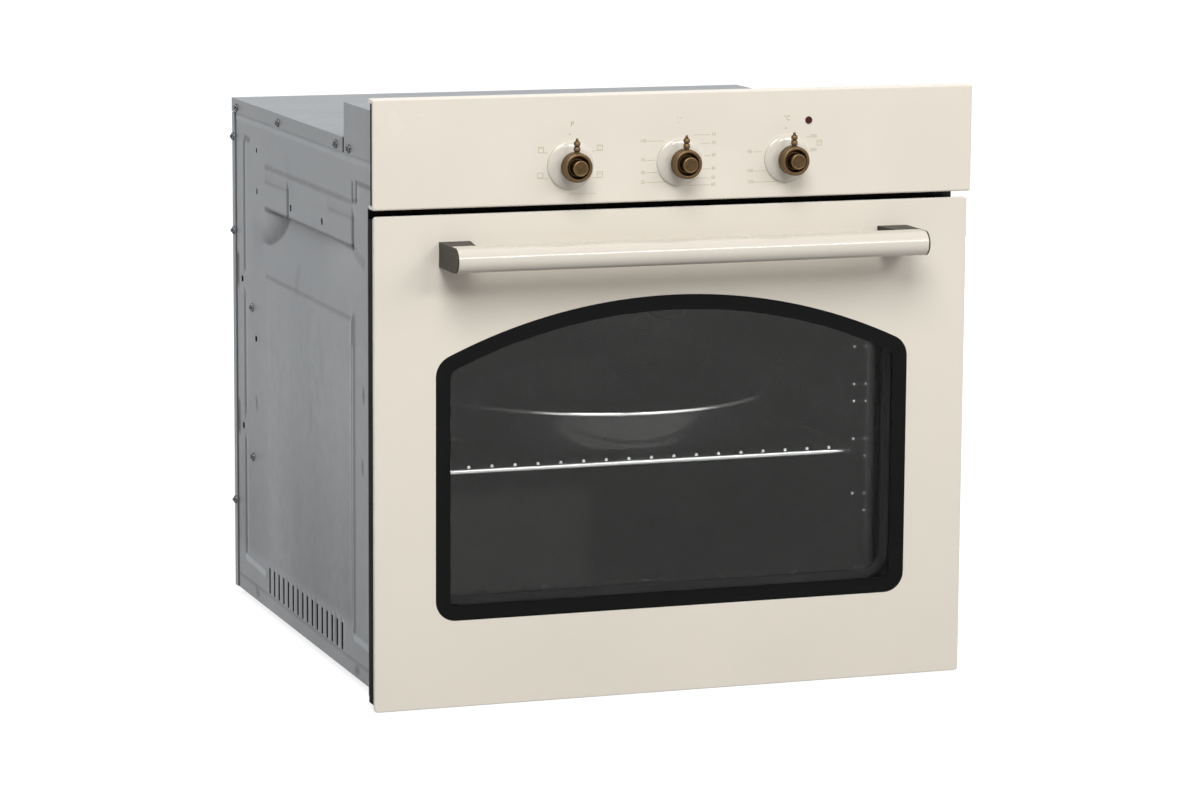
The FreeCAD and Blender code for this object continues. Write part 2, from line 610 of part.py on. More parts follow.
def turned(name, x, y, z, points):
    """Body turned about an axis along Y: pairs of distance forward and radius, by name."""
    owner = doc.addObject("PartDesign::Body", name)
    outline = owner.newObject("Sketcher::SketchObject", name + "_outline")
    plane = next(part for part in owner.Origin.OriginFeatures if part.Role == "YZ_Plane")
    outline.AttachmentSupport = [(plane, "")]
    outline.MapMode = "FlatFace"
    outline.AttachmentOffset = FreeCAD.Placement(V(), FreeCAD.Rotation(V(0, 0, 1), 180))
    bind(outline, {"AttachmentOffset.Base.x": y, "AttachmentOffset.Base.y": z, "AttachmentOffset.Base.z": x})
    spots = [V(*[value(part) if part else 0 for part in pair], 0) for pair in points]
    lines = [
        outline.addGeometry(Part.LineSegment(spot, spots[(step + 1) % len(spots)]))
        for step, spot in enumerate(spots)
    ]
    for step, (forward, radius) in enumerate(points):
        line = lines[step]
        outline.addConstraint(Sketcher.Constraint("Coincident", lines[step - 1], 2, line, 1))
        for kind, axis, part, reach in (
            ("DistanceX", -2, forward, spots[step].x),
            ("DistanceY", -1, radius, spots[step].y),
        ):
            if not part:
                outline.addConstraint(Sketcher.Constraint("PointOnObject", line, 1, axis))
                continue
            label = f"{kind}_{step}"
            number = outline.addConstraint(Sketcher.Constraint(kind, -1, 1, line, 1, reach))
            outline.renameConstraint(number, label)
            bind(outline, {f"Constraints.{label}": part})
    spin = owner.newObject("PartDesign::Revolution", name + "_turning")
    spin.Profile = outline
    spin.ReferenceAxis = (outline, ["H_Axis"])
    spin.Angle = 360
    doc.recompute()
    return owner


def wire(points, bend, radius):
    """Round wire along corner points, each inner corner bent to a radius."""
    edges = []
    start = points[0]
    for before, corner, after in zip(points, points[1:], points[2:]):
        arriving = (corner - before).normalize()
        leaving = (after - corner).normalize()
        turn = arriving.getAngle(leaving)
        setback = bend * math.tan(turn / 2)
        bend_start = corner - arriving * setback
        bend_end = corner + leaving * setback
        inward = (leaving - arriving).normalize()
        bend_middle = corner + inward * (bend / math.cos(turn / 2) - bend)
        edges.append(Part.LineSegment(start, bend_start).toShape())
        edges.append(Part.Arc(bend_start, bend_middle, bend_end).toShape())
        start = bend_end
    edges.append(Part.LineSegment(start, points[-1]).toShape())
    ring = Part.Wire([Part.makeCircle(radius, points[0], points[1] - points[0])])
    return Part.Wire(edges).makePipeShell([ring], True, False)


def element(z, rear):
    """Tubular heating element at a height, its two terminals drawn back to a depth."""
    pitch = value("heater_pitch")
    points = []
    for leg in range(HEATER_LEGS):
        x = pitch * (leg - (HEATER_LEGS - 1) / 2)
        ends = [V(x, value("heater_end"), z), V(x, value("heater_start"), z)]
        points += ends if leg % 2 == 0 else ends[::-1]
    points[0].y = rear
    points[-1].y = rear
    return wire(points, (pitch - value("heater_flat")) / 2, value("heater_radius"))


def screw(name, axis, sign, seat, centre):
    """Round-headed case screw whose head rests on a seat and points along an axis."""
    head = span(sign, "0", "screw_crown")
    shank = span(sign, "-screw_bite", "0")
    crown = rod(
        name + "_head", axis, "screw_head", [f"{seat} + ({text})" for text in head], centre
    )
    stem = rod(
        name + "_stem", axis, "screw_radius", [f"{seat} + ({text})" for text in shank], centre
    )
    return fuse(name, crown, stem)


fill_sheet()

# Places of the case screws on a side: depths of the cover screws, heights of the others
COVER_SCREWS = [
    "case_back - cover_screw_rear",
    "case_back - cover_screw_middle",
    "hood_back + cover_screw_front",
    "hood_back - hood_screw_inset",
]
BRACE_SCREWS = ["brace_base + brace_screw_inset", "brace_top - brace_screw_inset"]
BRACE_SCREW_Y = "brace_y - brace_flange / 2"
REAR_SCREWS = ["rear_screw_base", "body_height - rear_screw_middle", "body_height - rear_screw_top"]
SCREW_HOLE = "screw_radius + hole_clear"

# Base plate with upturned sides
base_pieces = [box("base_floor", both("side_inner"), ("frame_back", "rear_inner"), ("0", "gauge"))]
for word, side in SIDES:
    base_pieces.append(
        box(
            f"{word}_base_edge",
            span(side, "side_inner - gauge", "side_inner"),
            ("frame_back", "rear_inner"),
            ("0", "base_flange"),
        )
    )
node(fuse("base_sheet", *base_pieces), "base_plate")

# Side panels with a rear flange, stiffening beads, vent slots and a hand scoop
for word, side in SIDES:
    wall = box(
        f"{word}_wall",
        span(side, "side_inner", "side_outer"),
        ("frame_back", "rear_inner"),
        ("0", "cover_under"),
    )
    flange = box(
        f"{word}_wall_flange",
        span(side, "side_inner - rear_flange", "side_outer"),
        ("rear_inner - gauge", "rear_inner"),
        ("base_flange + gauge", "cover_under"),
    )
    outer = side * value("side_outer")
    inner = side * (value("side_outer") - value("scoop_depth"))
    back = inner - side * value("gauge")
    lip, foot, skin = value("scoop_lip"), value("scoop_foot"), value("gauge")
    near, far = value("scoop_near"), value("scoop_far")
    dish = Part.Face(
        Part.makePolygon(
            [V(outer, near, foot - skin), V(back, near, lip), V(back, near, lip + skin)]
            + [V(outer, near, lip + skin), V(outer, near, foot - skin)]
        )
    ).extrude(V(0, far - near, 0))
    room = Part.Face(
        Part.makePolygon(
            [V(outer, near + skin, foot), V(inner, near + skin, lip)]
            + [V(outer, near + skin, lip), V(outer, near + skin, foot)]
        )
    ).extrude(V(0, far - near - 2 * skin, 0))
    beads = [
        rod(
            f"{word}_front_bead",
            "z",
            "bead_radius",
            ("bead_base", "field_top"),
            (f"{side} * side_outer", "scoop_near"),
        ),
        box(
            f"{word}_field",
            span(side, "side_inner", "side_outer + field_rise"),
            ("scoop_near", "scoop_far"),
            ("field_base", "field_top"),
        ),
        rod(
            f"{word}_upper_bead",
            "y",
            "bead_radius",
            ("scoop_near", "scoop_far"),
            (f"{side} * side_outer", "swage_height"),
        ),
    ]
    for step in range(REAR_BEAD_COUNT):
        foot_text = f"bead_base + {step} * (bead_length + bead_break)"
        beads.append(
            rod(
                f"{word}_rear_bead_{step}",
                "z",
                "bead_radius",
                (foot_text, foot_text + " + bead_length"),
                (f"{side} * side_outer", "bead_y"),
            )
        )
    through = span(side, "side_inner - gauge", "case_side + gauge")
    openings = [shaped(f"{word}_scoop_room", room)]
    for step in range(VENT_COUNT):
        start = f"frame_front + vent_start + {step} * vent_pitch - vent_width / 2"
        openings.append(
            box(
                f"{word}_vent_{step}",
                through,
                (start, start + " + vent_width"),
                ("vent_base", "vent_base + vent_height"),
            )
        )
    for step, place in enumerate(COVER_SCREWS):
        openings.append(rod(f"{word}_cover_hole_{step}", "x", SCREW_HOLE, through, (place, "cover_screw_z")))
    for step, place in enumerate(BRACE_SCREWS):
        openings.append(rod(f"{word}_brace_hole_{step}", "x", SCREW_HOLE, through, (BRACE_SCREW_Y, place)))
    for step, place in enumerate(REAR_SCREWS):
        openings.append(rod(f"{word}_rear_hole_{step}", "x", SCREW_HOLE, through, ("rear_screw_y", place)))
    pressed = fuse(f"{word}_pressed_wall", wall, flange, shaped(f"{word}_scoop", dish), *beads)
    node(cut(f"{word}_side_sheet", pressed, *openings), f"{word}_side_panel")

# Rear panel folded over the sides, with a raised field, vent slots and the hole for the mains inlet
rear_sheet = fuse(
    "rear_sheet",
    box("rear_plate", both("side_outer"), ("rear_inner", "rear_face"), ("0", "cover_under")),
    box(
        "rear_field",
        both("side_outer - rear_field_inset + gauge"),
        ("rear_face", "case_back"),
        ("rear_field_base", "body_height - rear_field_drop"),
    ),
    *[
        box(
            f"{word}_rear_fold",
            span(side, "side_outer", "case_side"),
            ("rear_face - rear_fold", "rear_face"),
            ("0", "flange_foot - gauge"),
        )
        for word, side in SIDES
    ],
)
rear_openings = [
    rod(
        "inlet_hole",
        "y",
        "inlet_radius + hole_clear",
        ("rear_inner - gauge", "case_back + gauge"),
        ("inlet_x", "inlet_z"),
    )
]
for step in range(REAR_VENT_COUNT):
    start = f"({step} - {(REAR_VENT_COUNT - 1) / 2}) * vent_pitch - vent_width / 2"
    rear_openings.append(
        box(
            f"rear_vent_{step}",
            (start, start + " + vent_width"),
            ("rear_inner - gauge", "case_back + gauge"),
            ("rear_vent_base", "rear_vent_base + vent_height"),
        )
    )
for word, side in SIDES:
    for step, place in enumerate(REAR_SCREWS):
        rear_openings.append(
            rod(
                f"{word}_rear_panel_hole_{step}",
                "x",
                SCREW_HOLE,
                span(side, "side_inner", "case_side + gauge"),
                ("rear_screw_y", place),
            )
        )
node(cut("rear_pressing", rear_sheet, *rear_openings), "rear_panel")

# Top cover, folded over the sides and the back
lid = fuse(
    "lid_sheet",
    box(
        "lid_top", both("case_side"), ("hood_back + cover_slot", "case_back"), ("cover_under", "body_height")
    ),
    box("lid_rear", both("case_side"), ("rear_face", "case_back"), ("flange_foot", "body_height")),
    *[
        box(
            f"{word}_lid_edge",
            span(side, "side_outer", "case_side"),
            ("hood_back + cover_slot", "case_back"),
            ("flange_foot", "body_height"),
        )
        for word, side in SIDES
    ],
)
lid_holes = [
    rod(
        f"{word}_lid_hole_{step}",
        "x",
        SCREW_HOLE,
        span(side, "side_inner", "case_side + gauge"),
        (place, "cover_screw_z"),
    )
    for word, side in SIDES
    for step, place in enumerate(COVER_SCREWS[:3])
]
node(cut("lid_pressing", lid, *lid_holes), "top_cover")

# Control cover, a raised hood over the controls
hood = fuse(
    "hood_sheet",
    box("hood_lid", both("case_side"), ("tray_back", "hood_back"), ("hood_top - gauge", "hood_top")),
    box("hood_rear", both("case_side"), ("hood_back - gauge", "hood_back"), ("cover_under", "hood_top")),
    *[
        box(
            f"{word}_hood_edge",
            span(side, "side_outer", "case_side"),
            ("tray_back", "hood_back"),
            ("flange_foot", "hood_top"),
        )
        for word, side in SIDES
    ],
)
hood_holes = [
    rod(
        f"{word}_hood_hole",
        "x",
        SCREW_HOLE,
        span(side, "side_inner", "case_side + gauge"),
        (COVER_SCREWS[3], "cover_screw_z"),
    )
    for word, side in SIDES
]
node(cut("hood_pressing", hood, *hood_holes), "control_cover")

# Rear brace between the sides, which the side screws hold
brace = fuse(
    "brace_sheet",
    box(
        "brace_web",
        both("side_inner"),
        ("brace_y - gauge", "brace_y"),
        ("brace_base", "brace_top"),
    ),
    *[
        box(
            f"{word}_brace_end",
            span(side, "side_inner - gauge", "side_inner"),
            ("brace_y - brace_flange", "brace_y"),
            ("brace_base", "brace_top"),
        )
        for word, side in SIDES
    ],
)
brace_holes = [
    rod(
        f"{word}_brace_screw_hole_{step}",
        "x",
        SCREW_HOLE,
        span(side, "side_inner - 2 * gauge", "side_inner"),
        (BRACE_SCREW_Y, place),
    )
    for word, side in SIDES
    for step, place in enumerate(BRACE_SCREWS)
]
node(cut("brace_pressing", brace, *brace_holes), "rear_brace")

# Case screws
node(
    fuse(
        "cover_screw_group",
        *[
            screw(f"{word}_cover_screw_{step}", "x", side, f"{side} * case_side", (place, "cover_screw_z"))
            for word, side in SIDES
            for step, place in enumerate(COVER_SCREWS)
        ],
    ),
    "cover_screws",
)
node(
    fuse(
        "side_screw_group",
        *[
            screw(f"{word}_side_screw_{step}", "x", side, f"{side} * side_outer", (BRACE_SCREW_Y, place))
            for word, side in SIDES
            for step, place in enumerate(BRACE_SCREWS)
        ],
    ),
    "side_screws",
)
node(
    fuse(
        "rear_screw_group",
        *[
            screw(f"{word}_rear_screw_{step}", "x", side, f"{side} * case_side", ("rear_screw_y", place))
            for word, side in SIDES
            for step, place in enumerate(REAR_SCREWS)
        ],
    ),
    "rear_screws",
)

# Front frame with the mouth, the hinge slots, the cabinet screw holes and the air outlet
face = plate(
    "frame_sheet",
    "0",
    "frame_back",
    "panel_bottom / 2",
    "2 * frame_half",
    "panel_bottom",
    "glass_corner",
    "frame_gauge",
)
hollow(
    face,
    "0",
    "frame_back + gauge",
    "mouth_middle",
    "mouth_width",
    "mouth_height",
    "cavity_corner",
    "frame_gauge + 2 * gauge",
)
frame_through = ("frame_front - gauge", "frame_back + gauge")
frame_openings = []
for word, side in SIDES:
    frame_openings.append(
        box(
            f"{word}_arm_slot",
            span(
                side,
                "hinge_x - arm_gauge / 2 - swing_clear",
                "hinge_x + arm_gauge / 2 + swing_clear",
            ),
            frame_through,
            ("hinge_height - arm_radius - swing_clear", "hinge_height + arm_radius + swing_clear"),
        )
    )
    for step, height in enumerate(("fixing_base", "fixing_top")):
        frame_openings.append(
            rod(
                f"{word}_fixing_{step}",
                "y",
                "fixing_radius",
                frame_through,
                (f"{side} * fixing_x", height),
            )
        )
for step in range(OUTLET_COUNT):
    centre = f"({step} - {(OUTLET_COUNT - 1) / 2}) * outlet_pitch"
    frame_openings.append(
        box(
            f"outlet_{step}",
            (centre + " - outlet_length / 2", centre + " + outlet_length / 2"),
            frame_through,
            ("panel_bottom - outlet_drop - outlet_height", "panel_bottom - outlet_drop"),
        )
    )
node(cut("frame_pressing", face, *frame_openings), "front_frame")

# Door seal round the mouth
seal = plate(
    "seal_ring",
    "0",
    "frame_front",
    "mouth_middle",
    "mouth_width + 2 * gasket_margin + 2 * gasket_width",
    "mouth_height + 2 * gasket_margin + 2 * gasket_width",
    "cavity_corner + gasket_margin + gasket_width",
    "door_clear - gasket_clear",
)
hollow(
    seal,
    "0",
    "frame_front + gauge",
    "mouth_middle",
    "mouth_width + 2 * gasket_margin",
    "mouth_height + 2 * gasket_margin",
    "cavity_corner + gasket_margin",
    "door_clear + 2 * gauge",
)
node(seal, "door_gasket")

# Muffle: a rounded tube and its rear wall
shell = plate(
    "muffle_tube",
    "0",
    "cavity_back",
    "cavity_middle",
    "cavity_width + 2 * cavity_gauge",
    "cavity_height + 2 * cavity_gauge",
    "cavity_corner + cavity_gauge",
    "cavity_depth",
)
hollow(
    shell,
    "0",
    "cavity_back + gauge",
    "cavity_middle",
    "cavity_width",
    "cavity_height",
    "cavity_corner",
    "cavity_depth + 2 * gauge",
)
node(shell, "cavity_shell")
muffle_end = plate(
    "muffle_end",
    "0",
    "wall_back",
    "cavity_middle",
    "cavity_width + 2 * cavity_gauge",
    "cavity_height + 2 * cavity_gauge",
    "cavity_corner + cavity_gauge",
    "cavity_gauge",
)
terminal_x = "heater_half"
end_through = ("cavity_back - gauge", "wall_back + gauge")
node(
    cut(
        "muffle_end_holes",
        muffle_end,
        rod("light_hole", "y", "light_radius + hole_clear", end_through, ("light_x", "light_z")),
        *[
            rod(
                f"{word}_terminal_hole",
                "y",
                "heater_radius + hole_clear",
                end_through,
                (f"{side} * {terminal_x}", "upper_heater_z"),
            )
            for word, side in SIDES
        ],
    ),
    "cavity_rear_wall",
)

# Mineral wool round the muffle
wool = cut(
    "wool_blanket",
    box("wool_block", both("wool_half"), ("frame_back", "wool_back"), ("wool_bottom", "wool_top")),
    box(
        "wool_room",
        both("cavity_half + cavity_gauge"),
        ("frame_back - gauge", "wall_back"),
        ("wool_inner", "cavity_roof + cavity_gauge"),
    ),
    rod(
        "wool_light_hole",
        "y",
        "light_radius + gauge",
        ("cavity_back", "wool_back + gauge"),
        ("light_x", "light_z"),
    ),
    *[
        rod(
            f"{word}_wool_terminal_{level}",
            "y",
            "heater_radius + hole_clear",
            ("cavity_back", "wool_back + gauge"),
            (f"{side} * {terminal_x}", level),
        )
        for word, side in SIDES
        for level in ("upper_heater_z", "lower_heater_z")
    ],
)
node(wool, "insulation_blanket")

# Heating elements
upper_tube = shaped("upper_tube", element(value("upper_heater_z"), value("heater_tip")))
strap_y = "(heater_start + heater_end) / 2"
upper_fittings = [
    box(
        "upper_plate",
        both(f"{terminal_x} + heater_plate_height / 2"),
        ("cavity_back - heater_plate", "cavity_back"),
        ("upper_heater_z - heater_plate_height / 2", "upper_heater_z + heater_plate_height / 2"),
    ),
    box(
        "upper_strap",
        both(f"{terminal_x} + heater_radius"),
        (strap_y + " - heater_plate_height / 2", strap_y + " + heater_plate_height / 2"),
        ("upper_heater_z + heater_radius - weld_sink", "upper_heater_z + heater_radius + heater_plate"),
    ),
]
for word, side in SIDES:
    upper_fittings.append(
        box(
            f"{word}_upper_hanger",
            span(side, f"{terminal_x} - heater_pitch", f"{terminal_x} - heater_pitch + heater_plate"),
            (strap_y + " - heater_plate_height / 2", strap_y + " + heater_plate_height / 2"),
            ("upper_heater_z + heater_radius", "cavity_roof"),
        )
    )
node(fuse("upper_element", upper_tube, *upper_fittings), "upper_heater")
node(
    shaped("lower_element", element(value("lower_heater_z"), value("heater_tip"))),
    "lower_heater",
)

# Side racks: two uprights, pairs of runners and pegs to the muffle's wall
for word, side in SIDES:
    post_low = "ladder_base - ladder_guide / 2"
    post_high = f"ladder_base + {LADDER_LEVELS - 1} * ladder_pitch + ladder_guide + ladder_guide / 2"
    wires = []
    for end, depth in (("front", "ladder_near"), ("rear", "ladder_far")):
        wires.append(
            rod(
                f"{word}_{end}_post",
                "z",
                "ladder_post",
                (post_low, post_high),
                (f"{side} * post_x", depth),
            )
        )
        for step, height in enumerate((post_low + " + ladder_post", post_high + " - ladder_post")):
            wires.append(
                rod(
                    f"{word}_{end}_peg_{step}",
                    "x",
                    "ladder_wire",
                    span(side, "post_x", "cavity_half"),
                    (depth, height),
                )
            )
    for level in range(LADDER_LEVELS):
        for step in range(2):
            wires.append(
                rod(
                    f"{word}_runner_{level}_{step}",
                    "y",
                    "ladder_wire",
                    ("ladder_near - ladder_post", "ladder_far + ladder_post"),
                    (
                        f"{side} * runner_x",
                        f"ladder_base + {level} * ladder_pitch + {step} * ladder_guide",
                    ),
                )
            )
    node(fuse(f"{word}_ladder", *wires), f"{word}_side_rack")

# Sliding shelf on the third pair of runners
touch = value("rack_rail") + value("ladder_wire") + value("swing_clear")
offset = value("runner_x") - value("rack_half")
shelf_z = value("ladder_base") + RACK_LEVEL * value("ladder_pitch") + math.sqrt(touch**2 - offset**2)
bar_z = shelf_z + value("rack_rail") + value("rack_wire") - value("weld_sink")
brace_z = bar_z - value("rack_wire") - value("rack_brace") + value("weld_sink")
half, rack_near, rack_far = value("rack_half"), value("rack_near"), value("rack_far")
bars = [
    wire(
        [V(-half, rack_far, shelf_z), V(-half, rack_near, shelf_z)]
        + [V(half, rack_near, shelf_z), V(half, rack_far, shelf_z)],
        value("rack_bend"),
        value("rack_rail"),
    ),
    Part.makeCylinder(value("rack_rail"), 2 * half, V(-half, rack_far, shelf_z), V(1, 0, 0)),
    Part.makeCylinder(
        value("rack_brace"),
        2 * half,
        V(-half, value("rack_middle"), brace_z),
        V(1, 0, 0),
    ),
]
for step in range(RACK_BARS):
    x = value("rack_pitch") * (step - (RACK_BARS - 1) / 2)
    bars.append(
        Part.makeCylinder(
            value("rack_wire"),
            value("rack_depth"),
            V(x, rack_near, bar_z),
            V(0, 1, 0),
        )
    )
node(shaped("shelf", bars[0].multiFuse(bars[1:])), "wire_rack")

# Round tray on the shelf, with sloping sides and a rolled rim
foot, rim = value("tray_foot_radius"), value("tray_radius")
sheet_gauge, depth = value("tray_sheet"), value("tray_depth")
tray_z = bar_z + value("rack_wire") + value("tray_seat")
tray_axis = V(0, value("rack_middle"), 0)
outline = [
    V(0, 0, 0),
    V(foot, 0, 0),
    V(rim, 0, depth - value("tray_bead")),
    V(rim, 0, depth),
    V(rim - sheet_gauge, 0, depth),
    V(foot - sheet_gauge, 0, sheet_gauge),
    V(0, 0, sheet_gauge),
    V(0, 0, 0),
]
shift = tray_axis + V(0, 0, tray_z)
dish = Part.Face(Part.makePolygon([point + shift for point in outline])).revolve(shift, V(0, 0, 1), 360)
roll = Part.makeTorus(rim, value("tray_bead"), shift + V(0, 0, depth - value("tray_bead")), V(0, 0, 1))
node(shaped("tray_pan", dish.fuse(roll)), "round_tray")

# Oven light
node(
    rod(
        "light_socket",
        "y",
        "light_radius",
        ("cavity_back", "wool_back + heater_tail"),
        ("light_x", "light_z"),
    ),
    "lamp_holder",
)
lens_front = "cavity_back - lens_rim - lens_crown"
node(
    fuse(
        "light_glass",
        rod(
            "light_glass_rim",
            "y",
            "lens_radius",
            ("cavity_back - lens_rim", "cavity_back"),
            ("light_x", "light_z"),
        ),
        common(
            "light_glass_dome",
            ball("light_glass_ball", "lens_dome", ("light_x", lens_front + " + lens_dome", "light_z")),
            box(
                "light_glass_reach",
                ("light_x - 2 * lens_radius", "light_x + 2 * lens_radius"),
                (lens_front + " - gauge", "cavity_back - lens_rim"),
                ("light_z - 2 * lens_radius", "light_z + 2 * lens_radius"),
            ),
        ),
    ),
    "lamp_lens",
)

# Temperature sensor on two clips
sensor = [
    rod(
        "sensor_tube",
        "x",
        "bulb_radius",
        ("-bulb_x - bulb_length / 2", "-bulb_x + bulb_length / 2"),
        ("bulb_y", "bulb_z"),
    )
]
for word, side in SIDES:
    middle = f"-bulb_x + {side} * bulb_length / 4"
    sensor.append(
        box(
            f"{word}_sensor_clip",
            (middle + " - clip_width / 2", middle + " + clip_width / 2"),
            ("bulb_y", "cavity_back"),
            ("bulb_z - bulb_radius / 2", "bulb_z + bulb_radius / 2"),
        )
    )
node(fuse("sensor", *sensor), "thermostat_bulb")

# Plate over the mineral wool and the cooling fan on it
node(
    box("duct_sheet", both("duct_half"), ("frame_back", "wool_back + duct_tail"), ("wool_top", "duct_top")),
    "duct_plate",
)
fan_centre = ("fan_y", "fan_z")
scroll = "scroll_radius + gauge"
housing = cut(
    "fan_scroll",
    fuse(
        "fan_scroll_block",
        rod("fan_drum", "x", scroll, both("housing_end + gauge"), fan_centre),
        box(
            "fan_outlet",
            both("housing_end + gauge"),
            (f"fan_y - {scroll} - fan_room", "fan_y"),
            ("duct_top", "fan_z"),
        ),
        box(
            "fan_foot",
            both("housing_end + gauge"),
            ("fan_y - gauge", "fan_y + scroll_radius"),
            ("duct_top", "duct_top + fan_height - fan_radius"),
        ),
    ),
    rod("fan_room_drum", "x", "scroll_radius", both("housing_end"), fan_centre),
    box(
        "fan_room_outlet",
        both("housing_end"),
        (f"fan_y - {scroll} - 2 * fan_room", "fan_y"),
        ("duct_top + gauge", "fan_z - gauge"),
    ),
    rod(
        "fan_eye",
        "x",
        "fan_radius - blade_depth",
        ("-housing_end - 2 * gauge", "-housing_end"),
        fan_centre,
    ),
    rod(
        "fan_shaft_hole",
        "x",
        "spindle_radius + swing_clear",
        ("housing_end - gauge", "housing_end + 2 * gauge"),
        fan_centre,
    ),
)
node(housing, "fan_housing")
motor_start = "housing_end + gauge"
node(
    cut(
        "fan_drive",
        rod(
            "fan_drive_can",
            "x",
            "motor_radius",
            (motor_start, motor_start + " + motor_length"),
            fan_centre,
        ),
        rod(
            "fan_drive_bore",
            "x",
            "spindle_radius + shaft_clear",
            (motor_start + " - gauge", motor_start + " + spindle_seat + gauge"),
            fan_centre,
        ),
    ),
    "fan_motor",
)
fan_start = V(-value("fan_end"), value("fan_y"), value("fan_z"))
rotor = [
    Part.makeCylinder(
        value("spindle_radius"),
        value("fan_length") + value("fan_room") + value("gauge") + value("spindle_seat"),
        fan_start,
        V(1, 0, 0),
    )
]
for reach in (0, (value("fan_length") - value("fan_disc")) / 2, value("fan_length") - value("fan_disc")):
    rotor.append(
        Part.makeCylinder(
            value("fan_radius"), value("fan_disc"), fan_start + V(reach, 0, 0), V(1, 0, 0)
        )
    )
blade_foot = value("fan_radius") - value("blade_depth") - value("weld_sink")
for step in range(BLADE_COUNT):
    blade = Part.makeBox(
        value("fan_length"),
        value("blade_gauge"),
        value("blade_depth"),
        fan_start + V(0, -value("blade_gauge") / 2, blade_foot),
    )
    rotor.append(blade.rotated(fan_start, V(1, 0, 0), 360 * step / BLADE_COUNT))
wheel = rotor[0].multiFuse(rotor[1:])
node(shaped("fan_wheel", wheel), "fan_rotor")

# Mains connection
inlet_centre = ("inlet_x", "inlet_z")
node(
    cut(
        "gland",
        fuse(
            "gland_body",
            rod("gland_neck", "y", "inlet_radius", ("rear_inner - inlet_tail", "rear_face"), inlet_centre),
            rod("gland_collar", "y", "inlet_collar", ("rear_face", "rear_face + inlet_proud"), inlet_centre),
        ),
        rod(
            "gland_bore",
            "y",
            "inlet_bore",
            ("rear_inner - inlet_tail - gauge", "rear_face + inlet_proud + gauge"),
            inlet_centre,
        ),
    ),
    "cable_gland",
)
node(
    box(
        "connector",
        ("inlet_x - block_width / 2", "inlet_x + block_width / 2"),
        ("rear_inner - block_depth", "rear_inner"),
        ("inlet_z + block_lift", "inlet_z + block_lift + block_height"),
    ),
    "terminal_block",
)

# Control tray behind the control panel
KNOBS = (("function", "left", -1), ("timer", "middle", 0), ("thermostat", "right", 1))
tray = fuse(
    "tray_sheet",
    box(
        "tray_plate",
        both("front_half - panel_edge"),
        ("panel_back", "tray_back"),
        ("panel_bottom", "panel_top - panel_edge"),
    ),
    box(
        "tray_foot",
        both("side_inner"),
        ("panel_back", "frame_back + cover_flange"),
        ("panel_bottom", "panel_bottom + tray_gauge"),
    ),
)
neck_hole = "bush_radius + hole_clear"
tray_through = ("panel_front - gauge", "tray_back + gauge")
tray_holes = [
    rod(f"{name}_tray_hole", "y", neck_hole, tray_through, (f"{place} * knob_spacing", "knob_z"))
    for name, word, place in KNOBS
]
node(cut("tray_pressing", tray, *tray_holes), "control_tray")

# Control panel, a folded tray with rounded front edges and open ends
fascia = plate(
    "fascia",
    "0",
    "panel_back",
    "panel_bottom + panel_height / 2",
    "2 * front_half",
    "panel_height",
    "panel_edge",
    "panel_depth",
)
soften_front(fascia, value("panel_front"), "panel_edge - panel_arris")
hollow(
    fascia,
    "0",
    "panel_back + gauge",
    "panel_bottom + panel_height / 2",
    "2 * front_half - 2 * panel_gauge",
    "panel_height - 2 * panel_gauge",
    "panel_edge - panel_gauge / 2",
    "panel_depth - panel_gauge + gauge",
)
fascia_holes = [
    rod(f"{name}_fascia_hole", "y", neck_hole, tray_through, (f"{place} * knob_spacing", "knob_z"))
    for name, word, place in KNOBS
]
fascia_holes.append(
    rod("lamp_hole", "y", "lamp_radius + hole_clear", tray_through, ("lamp_offset", "lamp_z"))
)
for word, side in SIDES:
    fascia_holes.append(
        box(
            f"{word}_fascia_end",
            span(side, "front_half - 2 * panel_gauge", "front_half + gauge"),
            ("panel_front + panel_edge", "panel_back + gauge"),
            ("panel_bottom + panel_lip", "panel_top - panel_lip"),
        )
    )
node(cut("fascia_holes", fascia, *fascia_holes), "control_panel")
node(
    rod(
        "lamp_glass",
        "y",
        "lamp_radius",
        ("panel_front - lamp_proud", "panel_back"),
        ("lamp_offset", "lamp_z"),
    ),
    "indicator_lens",
)

